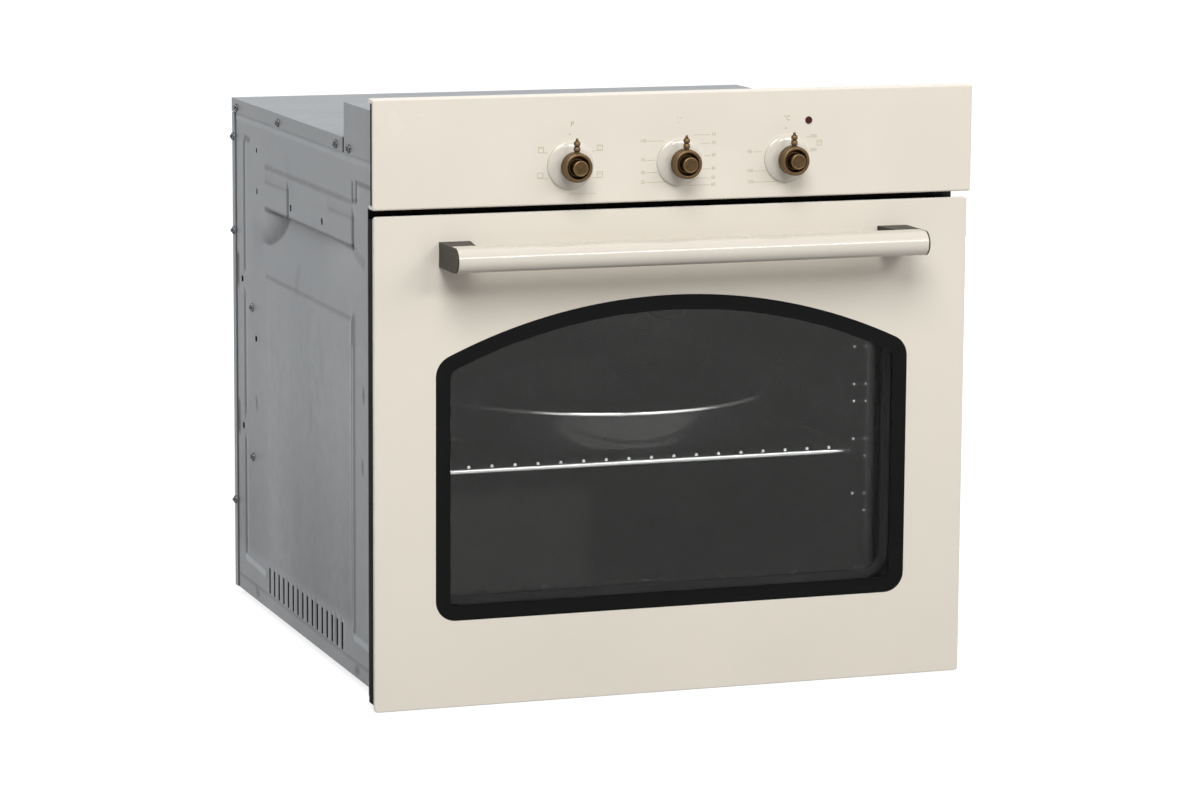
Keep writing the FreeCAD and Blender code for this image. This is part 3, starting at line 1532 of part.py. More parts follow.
# Controls, rings, knobs and spindles
LABELS = {"function": "function_switch", "timer": "timer", "thermostat": "thermostat"}
for name, word, place in KNOBS:
    x = f"{place} * knob_spacing"
    centre = (x, "knob_z")
    control = cut(
        f"{name}_control",
        fuse(
            f"{name}_control_body",
            box(
                f"{name}_control_case",
                (f"{x} - switch_side / 2", f"{x} + switch_side / 2"),
                ("tray_back", "tray_back + switch_depth"),
                ("knob_z - switch_side / 2 + gauge", "knob_z + switch_side / 2 + gauge"),
            ),
            rod(
                f"{name}_neck",
                "y",
                "bush_radius",
                ("panel_front - bush_proud", "tray_back + gauge"),
                centre,
            ),
        ),
        rod(
            f"{name}_bore",
            "y",
            "spindle_radius + shaft_clear",
            ("panel_front - bush_proud - gauge", "tray_back + spindle_seat + gauge"),
            centre,
        ),
    )
    node(control, LABELS[name])
    ring = cut(
        f"{word}_ring",
        fuse(
            f"{word}_ring_body",
            rod(f"{word}_ring_rim", "y", "bezel_radius", ("panel_front - bezel_rim", "panel_front"), centre),
            common(
                f"{word}_ring_dome",
                ball(f"{word}_ring_ball", "dome_radius", (x, "bezel_front + dome_radius", "knob_z")),
                box(
                    f"{word}_ring_reach",
                    (f"{x} - 2 * bezel_radius", f"{x} + 2 * bezel_radius"),
                    ("bezel_front - gauge", "panel_front - bezel_rim"),
                    ("knob_z - 2 * bezel_radius", "knob_z + 2 * bezel_radius"),
                ),
            ),
        ),
        rod(f"{word}_ring_bore", "y", neck_hole, ("bezel_front - gauge", "panel_front + gauge"), centre),
    )
    node(ring, f"{word}_bezel")
    handle = turned(
        f"{name}_turning",
        x,
        "knob_back",
        "knob_z",
        [
            ("", ""),
            ("", "neck_radius"),
            ("neck_depth", "neck_radius"),
            ("neck_depth", "disc_radius"),
            ("disc_front", "disc_front_radius"),
            ("disc_front", "grip_radius"),
            ("grip_front", "grip_radius"),
            ("grip_front", ""),
        ],
    )
    pointer_span = ("pointer_y - pointer_radius", "pointer_y + pointer_radius")
    pointer = [
        rod(
            f"{name}_pointer_root",
            "y",
            "pointer_radius",
            pointer_span,
            (x, "pointer_z"),
        ),
        rod(
            f"{name}_pointer_bead",
            "y",
            "pointer_radius",
            pointer_span,
            (x, "pointer_z + 2 * pointer_radius - weld_sink"),
        ),
        rod(
            f"{name}_pointer_end",
            "y",
            "pointer_tip",
            ("pointer_y - pointer_tip", "pointer_y + pointer_tip"),
            (x, "pointer_z + 3 * pointer_radius + pointer_tip - 2 * weld_sink"),
        ),
    ]
    shank = cut(
        f"{name}_handle",
        fuse(f"{name}_handle_body", handle, *pointer),
        rod(
            f"{name}_socket",
            "y",
            "spindle_radius",
            ("knob_back - socket_depth", "knob_back + gauge"),
            centre,
        ),
    )
    node(shank, f"{name}_knob")
    node(
        rod(
            f"{name}_shaft",
            "y",
            "spindle_radius",
            ("knob_back - socket_depth", "tray_back + spindle_seat"),
            centre,
        ),
        f"{name}_spindle",
    )

# Outer door glass with the holes for the handle screws
bracket_x = "handle_end - bracket_tip / 2"
pane = plate(
    "outer_pane",
    "0",
    "glass_back",
    "door_middle",
    "2 * door_half",
    "door_height",
    "glass_corner",
    "glass_gauge",
)
pane_holes = [
    rod(
        f"{word}_pane_hole",
        "y",
        "handle_screw_radius + hole_clear",
        ("door_front - gauge", "glass_back + gauge"),
        (f"{side} * ({bracket_x})", "handle_z"),
    )
    for word, side in SIDES
]
node(cut("outer_pane_holes", pane, *pane_holes), "outer_glass")

# Inner door glass in the rebates of the stiles and rails
node(
    box(
        "inner_pane",
        both("inner_half"),
        ("inner_front", "door_back"),
        ("inner_bottom", "inner_top"),
    ),
    "inner_glass",
)
rebate = (
    both("inner_half + inner_clear"),
    ("inner_front", "door_back + gauge"),
    ("inner_bottom - inner_clear", "inner_top + inner_clear"),
)

# Door stiles with a slot for the hinge arm and holes for its pin
for word, side in SIDES:
    post = box(
        f"{word}_post",
        span(side, "stile_inner", "stile_outer"),
        ("glass_back", "door_back"),
        ("stile_bottom", "stile_top"),
    )
    slot = box(
        f"{word}_post_slot",
        span(side, "hinge_x - arm_gauge / 2 - swing_clear", "hinge_x + arm_gauge / 2 + swing_clear"),
        ("hinge_y - arm_eye - swing_clear", "door_back + gauge"),
        ("stile_bottom - gauge", "hinge_height + arm_eye + swing_clear"),
    )
    pin_hole = rod(
        f"{word}_pin_hole",
        "x",
        "pin_radius",
        span(side, "hinge_x - pin_length / 2", "hinge_x + pin_length / 2"),
        ("hinge_y", "hinge_height"),
    )
    room = box(
        f"{word}_post_room",
        span(side, "stile_inner + profile_wall", "stile_outer - profile_wall"),
        ("room_front", "room_back"),
        ("stile_bottom + rail_height", "stile_top + gauge"),
    )
    rebate_cut = box(f"{word}_rebate", *rebate)
    node(cut(f"{word}_post_cut", post, slot, pin_hole, room, rebate_cut), f"{word}_stile")

# Door rails, the upper one with room for the heads of the handle screws
head_room = [
    rod(
        f"{word}_head_room",
        "y",
        "handle_head_radius + hole_clear",
        ("glass_back - gauge", "glass_back + handle_head_depth + hole_clear"),
        (f"{side} * ({bracket_x})", "handle_z"),
    )
    for word, side in SIDES
]
for word, low, high, room in (
    ("top", "stile_top - rail_height", "stile_top", head_room),
    ("bottom", "stile_bottom", "stile_bottom + rail_height", []),
):
    rail = box(f"{word}_rail_bar", both("stile_inner"), ("glass_back", "door_back"), (low, high))
    hollow_room = box(
        f"{word}_rail_room",
        both("stile_inner + gauge"),
        ("room_front", "room_back"),
        (f"{low} + profile_wall", f"{high} - profile_wall"),
    )
    seat = box(f"{word}_rail_rebate", *rebate)
    node(cut(f"{word}_rail_cut", rail, seat, hollow_room, *room), f"door_{word}_rail")

# Handle bar, a half-round profile between the brackets
bar_half = "handle_end - bracket_cap"
bar_back = "handle_y + handle_radius"
bar = fuse(
    "bar_solid",
    rod("bar_round", "x", "handle_radius", both(bar_half), ("handle_y", "handle_z")),
    box(
        "bar_flat",
        both(bar_half),
        ("handle_y", bar_back),
        ("handle_z - handle_radius", "handle_z + handle_radius"),
    ),
)
bar_room = fuse(
    "bar_room",
    rod("bar_room_round", "x", "handle_radius - handle_wall", both("handle_end"), ("handle_y", "handle_z")),
    box(
        "bar_room_flat",
        both("handle_end"),
        ("handle_y", "handle_y + handle_radius - handle_wall"),
        ("handle_z - handle_radius + handle_wall", "handle_z + handle_radius - handle_wall"),
    ),
)
node(cut("bar_tube", bar, bar_room), "handle_bar")

# Handle brackets, each a block behind the bar and a plate over its end
for word, side in SIDES:
    block = doc.addObject("Part::Wedge", f"{word}_bracket_block")
    tip_low, tip_high = span(side, "handle_end - bracket_tip", "handle_end")
    foot_low, foot_high = span(side, "handle_end - bracket_width", "handle_end")
    bind(
        block,
        {
            "Xmin": tip_low,
            "Xmax": tip_high,
            "X2min": foot_low,
            "X2max": foot_high,
            "Ymin": bar_back,
            "Ymax": "door_front",
            "Zmin": "handle_z - handle_radius",
            "Zmax": "handle_z + handle_radius",
            "Z2min": "handle_z - handle_radius",
            "Z2max": "handle_z + handle_radius",
        },
    )
    cap = fuse(
        f"{word}_bracket_cap",
        rod(
            f"{word}_cap_round",
            "x",
            "handle_radius",
            span(side, bar_half, "handle_end"),
            ("handle_y", "handle_z"),
        ),
        box(
            f"{word}_cap_flat",
            span(side, bar_half, "handle_end"),
            ("handle_y", bar_back),
            ("handle_z - handle_radius", "handle_z + handle_radius"),
        ),
    )
    thread = rod(
        f"{word}_bracket_thread",
        "y",
        "handle_screw_radius",
        ("door_front - handle_screw_bite", "door_front + gauge"),
        (f"{side} * ({bracket_x})", "handle_z"),
    )
    node(cut(f"{word}_bracket_body", fuse(f"{word}_bracket", block, cap), thread), f"{word}_handle_bracket")

# Handle screws from behind the glass
handle_screws = []
for word, side in SIDES:
    centre = (f"{side} * ({bracket_x})", "handle_z")
    handle_screws.append(
        fuse(
            f"{word}_handle_screw",
            rod(
                f"{word}_handle_stem",
                "y",
                "handle_screw_radius",
                ("door_front - handle_screw_bite", "glass_back"),
                centre,
            ),
            rod(
                f"{word}_handle_head",
                "y",
                "handle_head_radius",
                ("glass_back", "glass_back + handle_head_depth"),
                centre,
            ),
        )
    )
node(fuse("handle_screw_pair", *handle_screws), "handle_screws")

# Hinges: a pin in each stile, an arm on it and a receiver behind the front frame
node(
    fuse(
        "pin_pair",
        *[
            rod(
                f"{word}_pin",
                "x",
                "pin_radius",
                span(side, "hinge_x - pin_length / 2", "hinge_x + pin_length / 2"),
                ("hinge_y", "hinge_height"),
            )
            for word, side in SIDES
        ],
    ),
    "hinge_pins",
)
for word, side in SIDES:
    arm_span = span(side, "hinge_x - arm_gauge / 2", "hinge_x + arm_gauge / 2")
    arm = cut(
        f"{word}_arm",
        fuse(
            f"{word}_arm_blank",
            rod(f"{word}_arm_eye", "x", "arm_eye", arm_span, ("hinge_y", "hinge_height")),
            box(
                f"{word}_arm_bar",
                arm_span,
                ("hinge_y", "arm_back"),
                ("hinge_height - arm_radius", "hinge_height + arm_radius"),
            ),
        ),
        rod(
            f"{word}_arm_bore",
            "x",
            "pin_radius + shaft_clear",
            span(side, "hinge_x - arm_gauge", "hinge_x + arm_gauge"),
            ("hinge_y", "hinge_height"),
        ),
    )
    node(arm, f"{word}_hinge_arm")
    receiver = cut(
        f"{word}_receiver",
        box(
            f"{word}_receiver_block",
            span(
                side,
                "hinge_x - arm_gauge / 2 - receiver_wall",
                "hinge_x + arm_gauge / 2 + receiver_wall",
            ),
            ("frame_back", "arm_back + receiver_wall"),
            ("gauge", "gauge + receiver_height"),
        ),
        box(
            f"{word}_receiver_room",
            arm_span,
            ("frame_front", "arm_back"),
            ("hinge_height - arm_radius", "hinge_height + arm_radius"),
        ),
    )
    node(receiver, f"{word}_hinge_receiver")

doc.recompute()

# Check every object, then write the sub-parts
for thing in doc.Objects:
    if "Invalid" in thing.State or "Error" in thing.State:
        raise RuntimeError("not worked out: " + thing.Label)
for piece in nodes:
    if piece.Shape.isNull() or not piece.Shape.isValid():
        raise RuntimeError("bad shape: " + piece.Label)
os.makedirs("parts", exist_ok=True)
for piece in nodes:
    piece.Shape.exportStep(f"parts/{piece.Label}.step")
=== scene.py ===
"""Looks of a built-in oven: printed door glass, bronze knobs, galvanised case and enamelled muffle."""

import math

import bmesh
import bpy
from mathutils import Matrix, Vector


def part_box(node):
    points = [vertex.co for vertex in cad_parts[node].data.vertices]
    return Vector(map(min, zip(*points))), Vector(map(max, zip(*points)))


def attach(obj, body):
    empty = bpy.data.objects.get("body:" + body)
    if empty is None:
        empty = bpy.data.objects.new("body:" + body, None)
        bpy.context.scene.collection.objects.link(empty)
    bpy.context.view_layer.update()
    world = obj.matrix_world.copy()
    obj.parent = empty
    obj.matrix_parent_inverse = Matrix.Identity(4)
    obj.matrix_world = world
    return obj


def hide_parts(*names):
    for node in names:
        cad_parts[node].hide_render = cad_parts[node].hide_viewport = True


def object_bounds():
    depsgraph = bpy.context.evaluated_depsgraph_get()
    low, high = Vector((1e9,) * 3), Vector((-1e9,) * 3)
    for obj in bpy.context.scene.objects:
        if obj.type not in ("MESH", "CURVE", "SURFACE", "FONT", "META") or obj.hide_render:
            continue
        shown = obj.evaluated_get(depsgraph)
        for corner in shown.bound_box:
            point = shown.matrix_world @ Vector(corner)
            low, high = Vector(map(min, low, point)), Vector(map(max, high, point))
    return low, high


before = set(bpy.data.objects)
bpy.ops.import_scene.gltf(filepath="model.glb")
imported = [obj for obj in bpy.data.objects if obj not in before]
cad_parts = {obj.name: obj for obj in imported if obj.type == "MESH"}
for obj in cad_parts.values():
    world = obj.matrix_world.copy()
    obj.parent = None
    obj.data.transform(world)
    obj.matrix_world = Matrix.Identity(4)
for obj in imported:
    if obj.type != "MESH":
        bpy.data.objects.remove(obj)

CAD_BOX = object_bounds()
MM = 0.001

bl_info = {
    "name": "Built-in oven",
    "version": (1, 0, 0),
    "blender": (4, 5, 0),
    "location": "View3D > Sidebar > Oven",
    "description": "Finishes and detailed pieces of a built-in oven around its solid frame",
    "category": "Object",
}


# Places that come from the frame

GLASS_LOW, GLASS_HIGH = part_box("outer_glass")
SIDE_LOW, SIDE_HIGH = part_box("left_side_panel")
PANEL_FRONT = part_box("control_panel")[0].y
FLOOR_LEVEL = min(CAD_BOX[0].z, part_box("base_plate")[0].z) - 0.5 * MM
SIDES = (("left", -1), ("right", 1))
CONTROLS = (
    ("function", "left_bezel", "function_knob", "function_control"),
    ("timer", "middle_bezel", "timer_knob", "timer_control"),
    ("thermostat", "right_bezel", "thermostat_knob", "thermostat_control"),
)


def centre_of(node):
    """Middle of a node's box."""
    low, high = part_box(node)
    return (low + high) / 2


def length(name, text, default):
    """Length that a user may change, given in millimetres."""
    return bpy.props.FloatProperty(
        name=name, description=text, default=default * MM, min=0.0, unit="LENGTH", precision=5
    )


def colour(name, text, default):
    """Colour that a user may change."""
    return bpy.props.FloatVectorProperty(
        name=name, description=text, default=default, size=3, min=0.0, max=1.0, subtype="COLOR"
    )


class OvenSizes(bpy.types.PropertyGroup):
    """Sizes of the pieces that are dressed."""

    window_half: length("Window half width", "Middle of the door to the side of the black band", 236)
    window_foot: length("Window foot", "Lower edge of the door to the black band", 82.4)
    window_apex: length("Window apex", "Lower edge of the door to the top of the arch", 381.3)
    arch_radius: length("Arch radius", "Radius of the arched top of the window", 532)
    band_width: length("Band width", "Black band round the clear window", 14.4)
    shoulder_radius: length("Shoulder radius", "Rounding where the arch meets the sides", 21)
    foot_radius: length("Foot radius", "Rounding of the lower corners of the band", 19.5)
    glass_corner: length("Glass corner", "Rounding of the corners of the door glass", 3.5)
    glass_arris: length("Glass arris", "Ground edge of the door glass", 0.8)
    bead_height: length("Bead height", "Pressed bead proud of the side", 1.6)
    bead_width: length("Bead width", "Middle of a pressed bead to its foot", 4.5)
    scoop_depth: length("Scoop depth", "Hand scoop into the side", 8)
    sheet_gauge: length("Sheet gauge", "Thickness of the case's sheet", 0.7)
    print_height: length("Figure height", "Figures printed round the knobs", 4.4)


class OvenFinishes(bpy.types.PropertyGroup):
    """Colours of the finishes."""

    cream: colour("Cream", "Printed glass, control panel and handle", (0.780, 0.728, 0.640))
    band: colour("Band", "Black print round the window", (0.004, 0.004, 0.004))
    bronze: colour("Bronze", "Antique bronze of the knobs", (0.086, 0.052, 0.024))
    bracket: colour("Bracket", "Dark bronze of the handle's brackets", (0.030, 0.024, 0.019))
    zinc: colour("Zinc", "Galvanised sheet of the case", (0.243, 0.258, 0.274))
    enamel: colour("Enamel", "Enamel of the muffle", (0.007, 0.007, 0.0075))
    figures: colour("Figures", "Print round the knobs", (0.440, 0.370, 0.230))
    lamp: colour("Lamp", "Indicator lens", (0.060, 0.006, 0.009))
    floor: colour("Floor", "Studio floor", (0.300, 0.300, 0.300))


# Finishes

WHITE = (1.0, 1.0, 1.0, 1.0)


def feed(tree, node, sockets):
    """Put a constant or another node's output on each of a node's sockets."""
    for socket, value in sockets.items():
        if isinstance(value, bpy.types.NodeSocket):
            tree.links.new(value, node.inputs[socket])
        else:
            node.inputs[socket].default_value = value


def add(tree, kind, output, sockets=None, **settings):
    """Output of a new shader node, made with its settings and then fed."""
    made = tree.nodes.new("ShaderNode" + kind)
    for name, value in settings.items():
        setattr(made, name, value)
    feed(tree, made, sockets or {})
    return made.outputs[output]


def shader_of(name, base, metallic=0.0, roughness=0.5, **others):
    """New finish whose constants sit on its own sockets, with its tree and its surface."""
    made = bpy.data.materials.new(name)
    made.use_nodes = True
    made.diffuse_color = (*base, 1.0)
    tree = made.node_tree
    surface = tree.nodes["Principled BSDF"]
    feed(tree, surface, {"Base Color": (*base, 1.0), "Metallic": metallic, "Roughness": roughness})
    feed(tree, surface, {socket.replace("_", " "): amount for socket, amount in others.items()})
    return made, tree, surface


def placed(tree, stretch=(1.0, 1.0, 1.0)):
    """Coordinates that stay with a piece."""
    place = add(tree, "TexCoord", "Object")
    return add(tree, "Mapping", "Vector", {"Vector": place, "Scale": stretch})


def grain_of(tree, scale, detail=3.0, stretch=(1.0, 1.0, 1.0)):
    """Cloudy texture with so many cells to the metre."""
    return add(tree, "TexNoise", "Fac", {"Vector": placed(tree, stretch), "Scale": scale, "Detail": detail})


def shade(tree, surface, source, dark, light, low=0.35, high=0.65):
    """Base colour that runs between two shades with a texture."""
    ramp = tree.nodes.new("ShaderNodeValToRGB")
    for index, (place, tint) in enumerate(((low, dark), (high, light))):
        ramp.color_ramp.elements[index].position = place
        ramp.color_ramp.elements[index].color = (*tint, 1.0)
    feed(tree, ramp, {"Fac": source})
    feed(tree, surface, {"Base Color": ramp.outputs["Color"]})
    return ramp.outputs["Color"]


def roughen(tree, surface, source, low, high):
    """Roughness that runs between two values with a texture."""
    sockets = {"Value": source, "From Min": 0.3, "From Max": 0.7, "To Min": low, "To Max": high}
    feed(tree, surface, {"Roughness": add(tree, "MapRange", "Result", sockets)})


def emboss(tree, surface, scale, strength, depth):
    """Fine relief with so many cells to the metre."""
    sockets = {"Height": grain_of(tree, scale, 2.0), "Strength": strength, "Distance": depth}
    feed(tree, surface, {"Normal": add(tree, "Bump", "Normal", sockets)})


def tone(base, amount):
    """A colour made lighter or darker."""
    return tuple(min(1.0, part * amount) for part in base)


def mottled(name, base, spread, scale, rough, metallic=0.0, relief=None, **others):
    """Finish with a soft change of shade and gloss over the piece."""
    made, tree, surface = shader_of(name, base, metallic, rough[0], **others)
    cloud = grain_of(tree, scale)
    shade(tree, surface, cloud, tone(base, 1 - spread), tone(base, 1 + spread))
    roughen(tree, surface, cloud, *rough)
    if relief:
        emboss(tree, surface, *relief)
    return made


def galvanised(name, base, shade_painted=False):
    """Zinc-coated sheet: crystals a few millimetres across, faint streaks and a soft sheen."""
    spread, rough = 0.06, (0.36, 0.5)
    made, tree, surface = shader_of(name, base, 0.25, rough[0], IOR=1.35)
    crystals = add(tree, "TexVoronoi", "Color", {"Vector": placed(tree), "Scale": 130.0})
    streaks = grain_of(tree, 9.0, 4.0, (1.0, 1.0, 0.25))
    bloom = add(tree, "Mix", "Result", {"Factor": 0.72, "A": crystals, "B": streaks})
    zinc = shade(tree, surface, bloom, tone(base, 1 - spread), tone(base, 1 + spread))
    # With painted shade, a vertex attribute scales the zinc: painted shade in grooves, scoop and low sheet,
    # painted highlight on beads
    if shade_painted:
        crease = add(tree, "Attribute", "Fac", attribute_name="crease")
        painted_shade_scale = add(tree, "MapRange", "Result", {"Value": crease, "To Max": 2.0})
        wear_and_painted_shade = add(tree, "VectorMath", "Vector", {"Vector": zinc, "Scale": painted_shade_scale}, operation="SCALE")
        feed(tree, surface, {"Base Color": wear_and_painted_shade})
    roughen(tree, surface, bloom, *rough)
    emboss(tree, surface, 700.0, 0.04, 0.0004)
    return made


def speckled(name, base, fleck, rough):
    """Vitreous enamel: a dark glossy coat with fine pale flecks."""
    made, tree, surface = shader_of(name, base, 0.0, rough[0])
    shade(tree, surface, grain_of(tree, 900.0, 1.0), base, fleck, 0.66, 0.74)
    roughen(tree, surface, grain_of(tree, 25.0), *rough)
    return made


def worn_metal(name, base, worn, scale, rough, metallic):
    """Patinated metal that is paler along its edges."""
    made, tree, surface = shader_of(name, base, metallic, rough[0])
    patina = grain_of(tree, scale, 4.0)
    dull = shade(tree, surface, patina, tone(base, 0.72), tone(base, 1.2), 0.3, 0.7)
    edge = add(tree, "NewGeometry", "Pointiness")
    sockets = {"Value": edge, "From Min": 0.51, "From Max": 0.58, "To Max": 0.65}
    wear = add(tree, "MapRange", "Result", sockets)
    wear_and_painted_shade = add(tree, "Mix", "Result", {"Factor": wear, "A": dull, "B": (*worn, 1.0)}, data_type="RGBA")
    feed(tree, surface, {"Base Color": wear_and_painted_shade})
    roughen(tree, surface, patina, *rough)
    emboss(tree, surface, 1400.0, 0.12, 0.0002)
    return made


def front_lit_chrome(name, bright, dull, near, far):
    """Chromed wire with a painted reflection, bright at the front and painted darker behind a depth."""
    made, tree, surface = shader_of(name, bright, 0.95, 0.1)
    depth = add(tree, "SeparateXYZ", "Y", {"Vector": add(tree, "TexCoord", "Object")})
    front_light = add(tree, "MapRange", "Result", {"Value": depth, "From Min": near, "From Max": far})
    shade(tree, surface, front_light, bright, dull, 0.0, 1.0)
    roughen(tree, surface, grain_of(tree, 60.0), 0.07, 0.14)
    return made


def see_through(name, tint, bend):
    """Pane that lets the lamps through, with a smear of dust in its gloss."""
    made, tree, surface = shader_of(name, tint, 0.0, 0.0, Transmission_Weight=1.0, IOR=bend)
    roughen(tree, surface, grain_of(tree, 12.0, 4.0), 0.0, 0.004)
    shadow = add(tree, "LightPath", "Is Shadow Ray")
    open_way = add(tree, "BsdfTransparent", "BSDF", {"Color": (*tint, 1.0)})
    pane = add(tree, "MixShader", "Shader", {"Fac": shadow, 1: surface.outputs["BSDF"], 2: open_way})
    feed(tree, tree.nodes["Material Output"], {"Surface": pane})
    return made


# Mottled finishes: colour, or the name of one that a user may change; change of shade; cells to the metre;
# roughness; metal; relief as cells to the metre, strength and depth; and the coat's own index, if it has one
MOTTLED = {
    "printed_glass": ("cream", 0.012, 6.0, (0.05, 0.08), 0.0, (2.2, 0.02, 0.002), 1.3),
    "black_print": ("band", 0.15, 30.0, (0.05, 0.09), 0.0, (2.2, 0.02, 0.002), 1.17),
    "glass_edge": ((0.66, 0.635, 0.575), 0.08, 60.0, (0.08, 0.16), 0.0, None, 1.4),
    "cream_paint": ("cream", 0.012, 14.0, (0.2, 0.28), 0.0, (420.0, 0.05, 0.0003), 1.35),
    "bronze_bracket": ("bracket", 0.12, 300.0, (0.42, 0.55), 0.1, (1800.0, 0.1, 0.0002), 1.35),
    "frame_enamel": ((0.004, 0.004, 0.004), 0.2, 70.0, (0.2, 0.3), 0.0, (500.0, 0.05, 0.0003), 1.25),
    # The racks' wire is painted near black as shade; its ends and pegs' heads take bright chrome as painted
    # glints
    "ladder_chrome": ((0.035, 0.035, 0.037), 0.1, 90.0, (0.04, 0.08), 1.0, None, None),
    "tip_chrome": ((0.9, 0.9, 0.9), 0.05, 200.0, (0.08, 0.14), 1.0, None, None),
    "rim_steel": ((0.80, 0.80, 0.80), 0.08, 90.0, (0.1, 0.2), 0.9, None, None),
    "element_steel": ((0.10, 0.095, 0.09), 0.25, 120.0, (0.4, 0.6), 0.6, (900.0, 0.1, 0.0002), None),
    "seal_rubber": ((0.010, 0.010, 0.011), 0.2, 90.0, (0.7, 0.85), 0.0, (1100.0, 0.3, 0.0005), 1.3),
    "mineral_wool": ((0.42, 0.38, 0.27), 0.3, 45.0, (0.9, 1.0), 0.0, (380.0, 0.8, 0.002), None),
    "lens_glass": ((0.05, 0.05, 0.047), 0.1, 90.0, (0.05, 0.1), 0.0, (260.0, 0.1, 0.0004), 1.3),
    "lamp_red": ("lamp", 0.3, 500.0, (0.12, 0.2), 0.0, (700.0, 0.2, 0.0004), 1.3),
    "black_plastic": ((0.022, 0.022, 0.024), 0.2, 80.0, (0.4, 0.55), 0.0, (1300.0, 0.15, 0.0003), None),
    "ceramic": ((0.72, 0.69, 0.62), 0.06, 120.0, (0.3, 0.45), 0.0, (800.0, 0.1, 0.0003), None),
    "screw_steel": ((0.20, 0.205, 0.21), 0.2, 600.0, (0.2, 0.3), 0.9, None, None),
    "fan_metal": ((0.56, 0.57, 0.58), 0.08, 90.0, (0.3, 0.42), 0.85, None, None),
    "hinge_steel": ((0.36, 0.36, 0.36), 0.12, 150.0, (0.35, 0.5), 0.8, (600.0, 0.08, 0.0003), None),
    "figures": ("figures", 0.08, 400.0, (0.3, 0.4), 0.0, None, None),
}

MAKERS = {
    "window_glass": lambda name, c: see_through(name, (0.93, 0.93, 0.92), 1.135),
    "inner_glass": lambda name, c: see_through(name, (0.94, 0.95, 0.94), 1.245),
    "cream_gloss": lambda name, c: mottled(
        name, tone(c.cream, 0.87), 0.012, 14.0, (0.07, 0.11), 0.0, (420.0, 0.03, 0.0002), IOR=1.5
    ),
    "black_paint": lambda name, c: mottled(
        name, (0.012, 0.0105, 0.009), 0.25, 40.0, (0.45, 0.6), 0.0, (900.0, 0.08, 0.0003),
        Specular_IOR_Level=0.01,
    ),
    "bronze_knob": lambda name, c: worn_metal(name, c.bronze, (0.26, 0.17, 0.085), 260.0, (0.3, 0.48), 0.95),
    "galvanised": lambda name, c: galvanised(name, c.zinc),
    "pressed_sheet": lambda name, c: galvanised(name, c.zinc, shade_painted=True),
    "enamel": lambda name, c: speckled(name, c.enamel, (0.011, 0.011, 0.012), (0.06, 0.1)),
    "tray_enamel": lambda name, c: speckled(name, (0.009, 0.009, 0.010), (0.04, 0.04, 0.04), (0.1, 0.16)),
    "wire_chrome": lambda name, c: front_lit_chrome(name, (0.58, 0.58, 0.59), (0.24, 0.23, 0.22), -0.236, -0.222),
}

FINISHES = {}


def finish(name):
    """Finish by its name, made when it is first asked for."""
    colours = bpy.context.scene.oven_finishes
    if name in MOTTLED and name not in FINISHES:
        base, *others, index = MOTTLED[name]
        base = getattr(colours, base) if isinstance(base, str) else base
        FINISHES[name] = mottled(name, base, *others, **({"IOR": index} if index else {}))
    elif name not in FINISHES:
        FINISHES[name] = MAKERS[name](name, colours)
    return FINISHES[name]


NODE_FINISHES = {
    "galvanised": (
        "top_cover", "control_cover", "rear_panel", "base_plate", "rear_brace", "duct_plate",
        "fan_housing", "left_side_panel", "right_side_panel",
    ),
    "cream_paint": ("control_panel", "left_bezel", "middle_bezel", "right_bezel"),
    "cream_gloss": ("handle_bar",),
    "bronze_bracket": ("left_handle_bracket", "right_handle_bracket"),
    "bronze_knob": ("function_knob", "timer_knob", "thermostat_knob"),
    "inner_glass": ("inner_glass",),
    "black_paint": ("left_stile", "right_stile", "door_top_rail", "door_bottom_rail", "control_tray"),
    "enamel": ("cavity_shell", "cavity_rear_wall"),
    "frame_enamel": ("front_frame",),
    "tray_enamel": ("round_tray",),
    "wire_chrome": ("wire_rack",),
    "ladder_chrome": ("left_side_rack", "right_side_rack"),
    "element_steel": ("upper_heater", "lower_heater", "thermostat_bulb"),
    "seal_rubber": ("door_gasket",),
    "mineral_wool": ("insulation_blanket",),
    "lens_glass": ("lamp_lens",),
    "lamp_red": ("indicator_lens",),
    "black_plastic": ("function_switch", "timer", "thermostat", "cable_gland"),
    "ceramic": ("lamp_holder", "terminal_block"),
    "screw_steel": (
        "cover_screws", "side_screws", "rear_screws", "handle_screws",
        "function_spindle", "timer_spindle", "thermostat_spindle",
    ),
    "fan_metal": ("fan_rotor", "fan_motor"),
    "hinge_steel": (
        "left_hinge_arm", "right_hinge_arm", "left_hinge_receiver", "right_hinge_receiver", "hinge_pins",
    ),
}


# Meshes

# Points along the corners, uprights, arch and foot of the door glass's outlines
CORNER_STEPS, UPRIGHT_STEPS, ARCH_STEPS, FOOT_STEPS = 8, 10, 20, 24


def piece(name, mesh, body, finishes, smooth_angle=40.0):
    """Put a finished mesh on a body, with its finishes."""
    mesh.name = name
    for each in finishes:
        mesh.materials.append(finish(each))
    if smooth_angle:
        mesh.shade_smooth()
        mesh.set_sharp_from_angle(angle=math.radians(smooth_angle))
    made = bpy.data.objects.new(name, mesh)
    bpy.context.scene.collection.objects.link(made)
    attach(made, body)
    return made


def mesh_of(builder, turned=False):
    """Turn a bmesh into a mesh, with its faces turned outwards unless they are already."""
    if not turned:
        bmesh.ops.recalc_face_normals(builder, faces=builder.faces)
    mesh = bpy.data.meshes.new("piece")
    builder.to_mesh(mesh)
    builder.free()
    return mesh


def bridge(builder, first, second, paint=0):
    """Join two closed loops of vertices by a band of faces."""
    for index, vertex in enumerate(first):
        following = (index + 1) % len(first)
        face = builder.faces.new((vertex, first[following], second[following], second[index]))
        face.material_index = paint


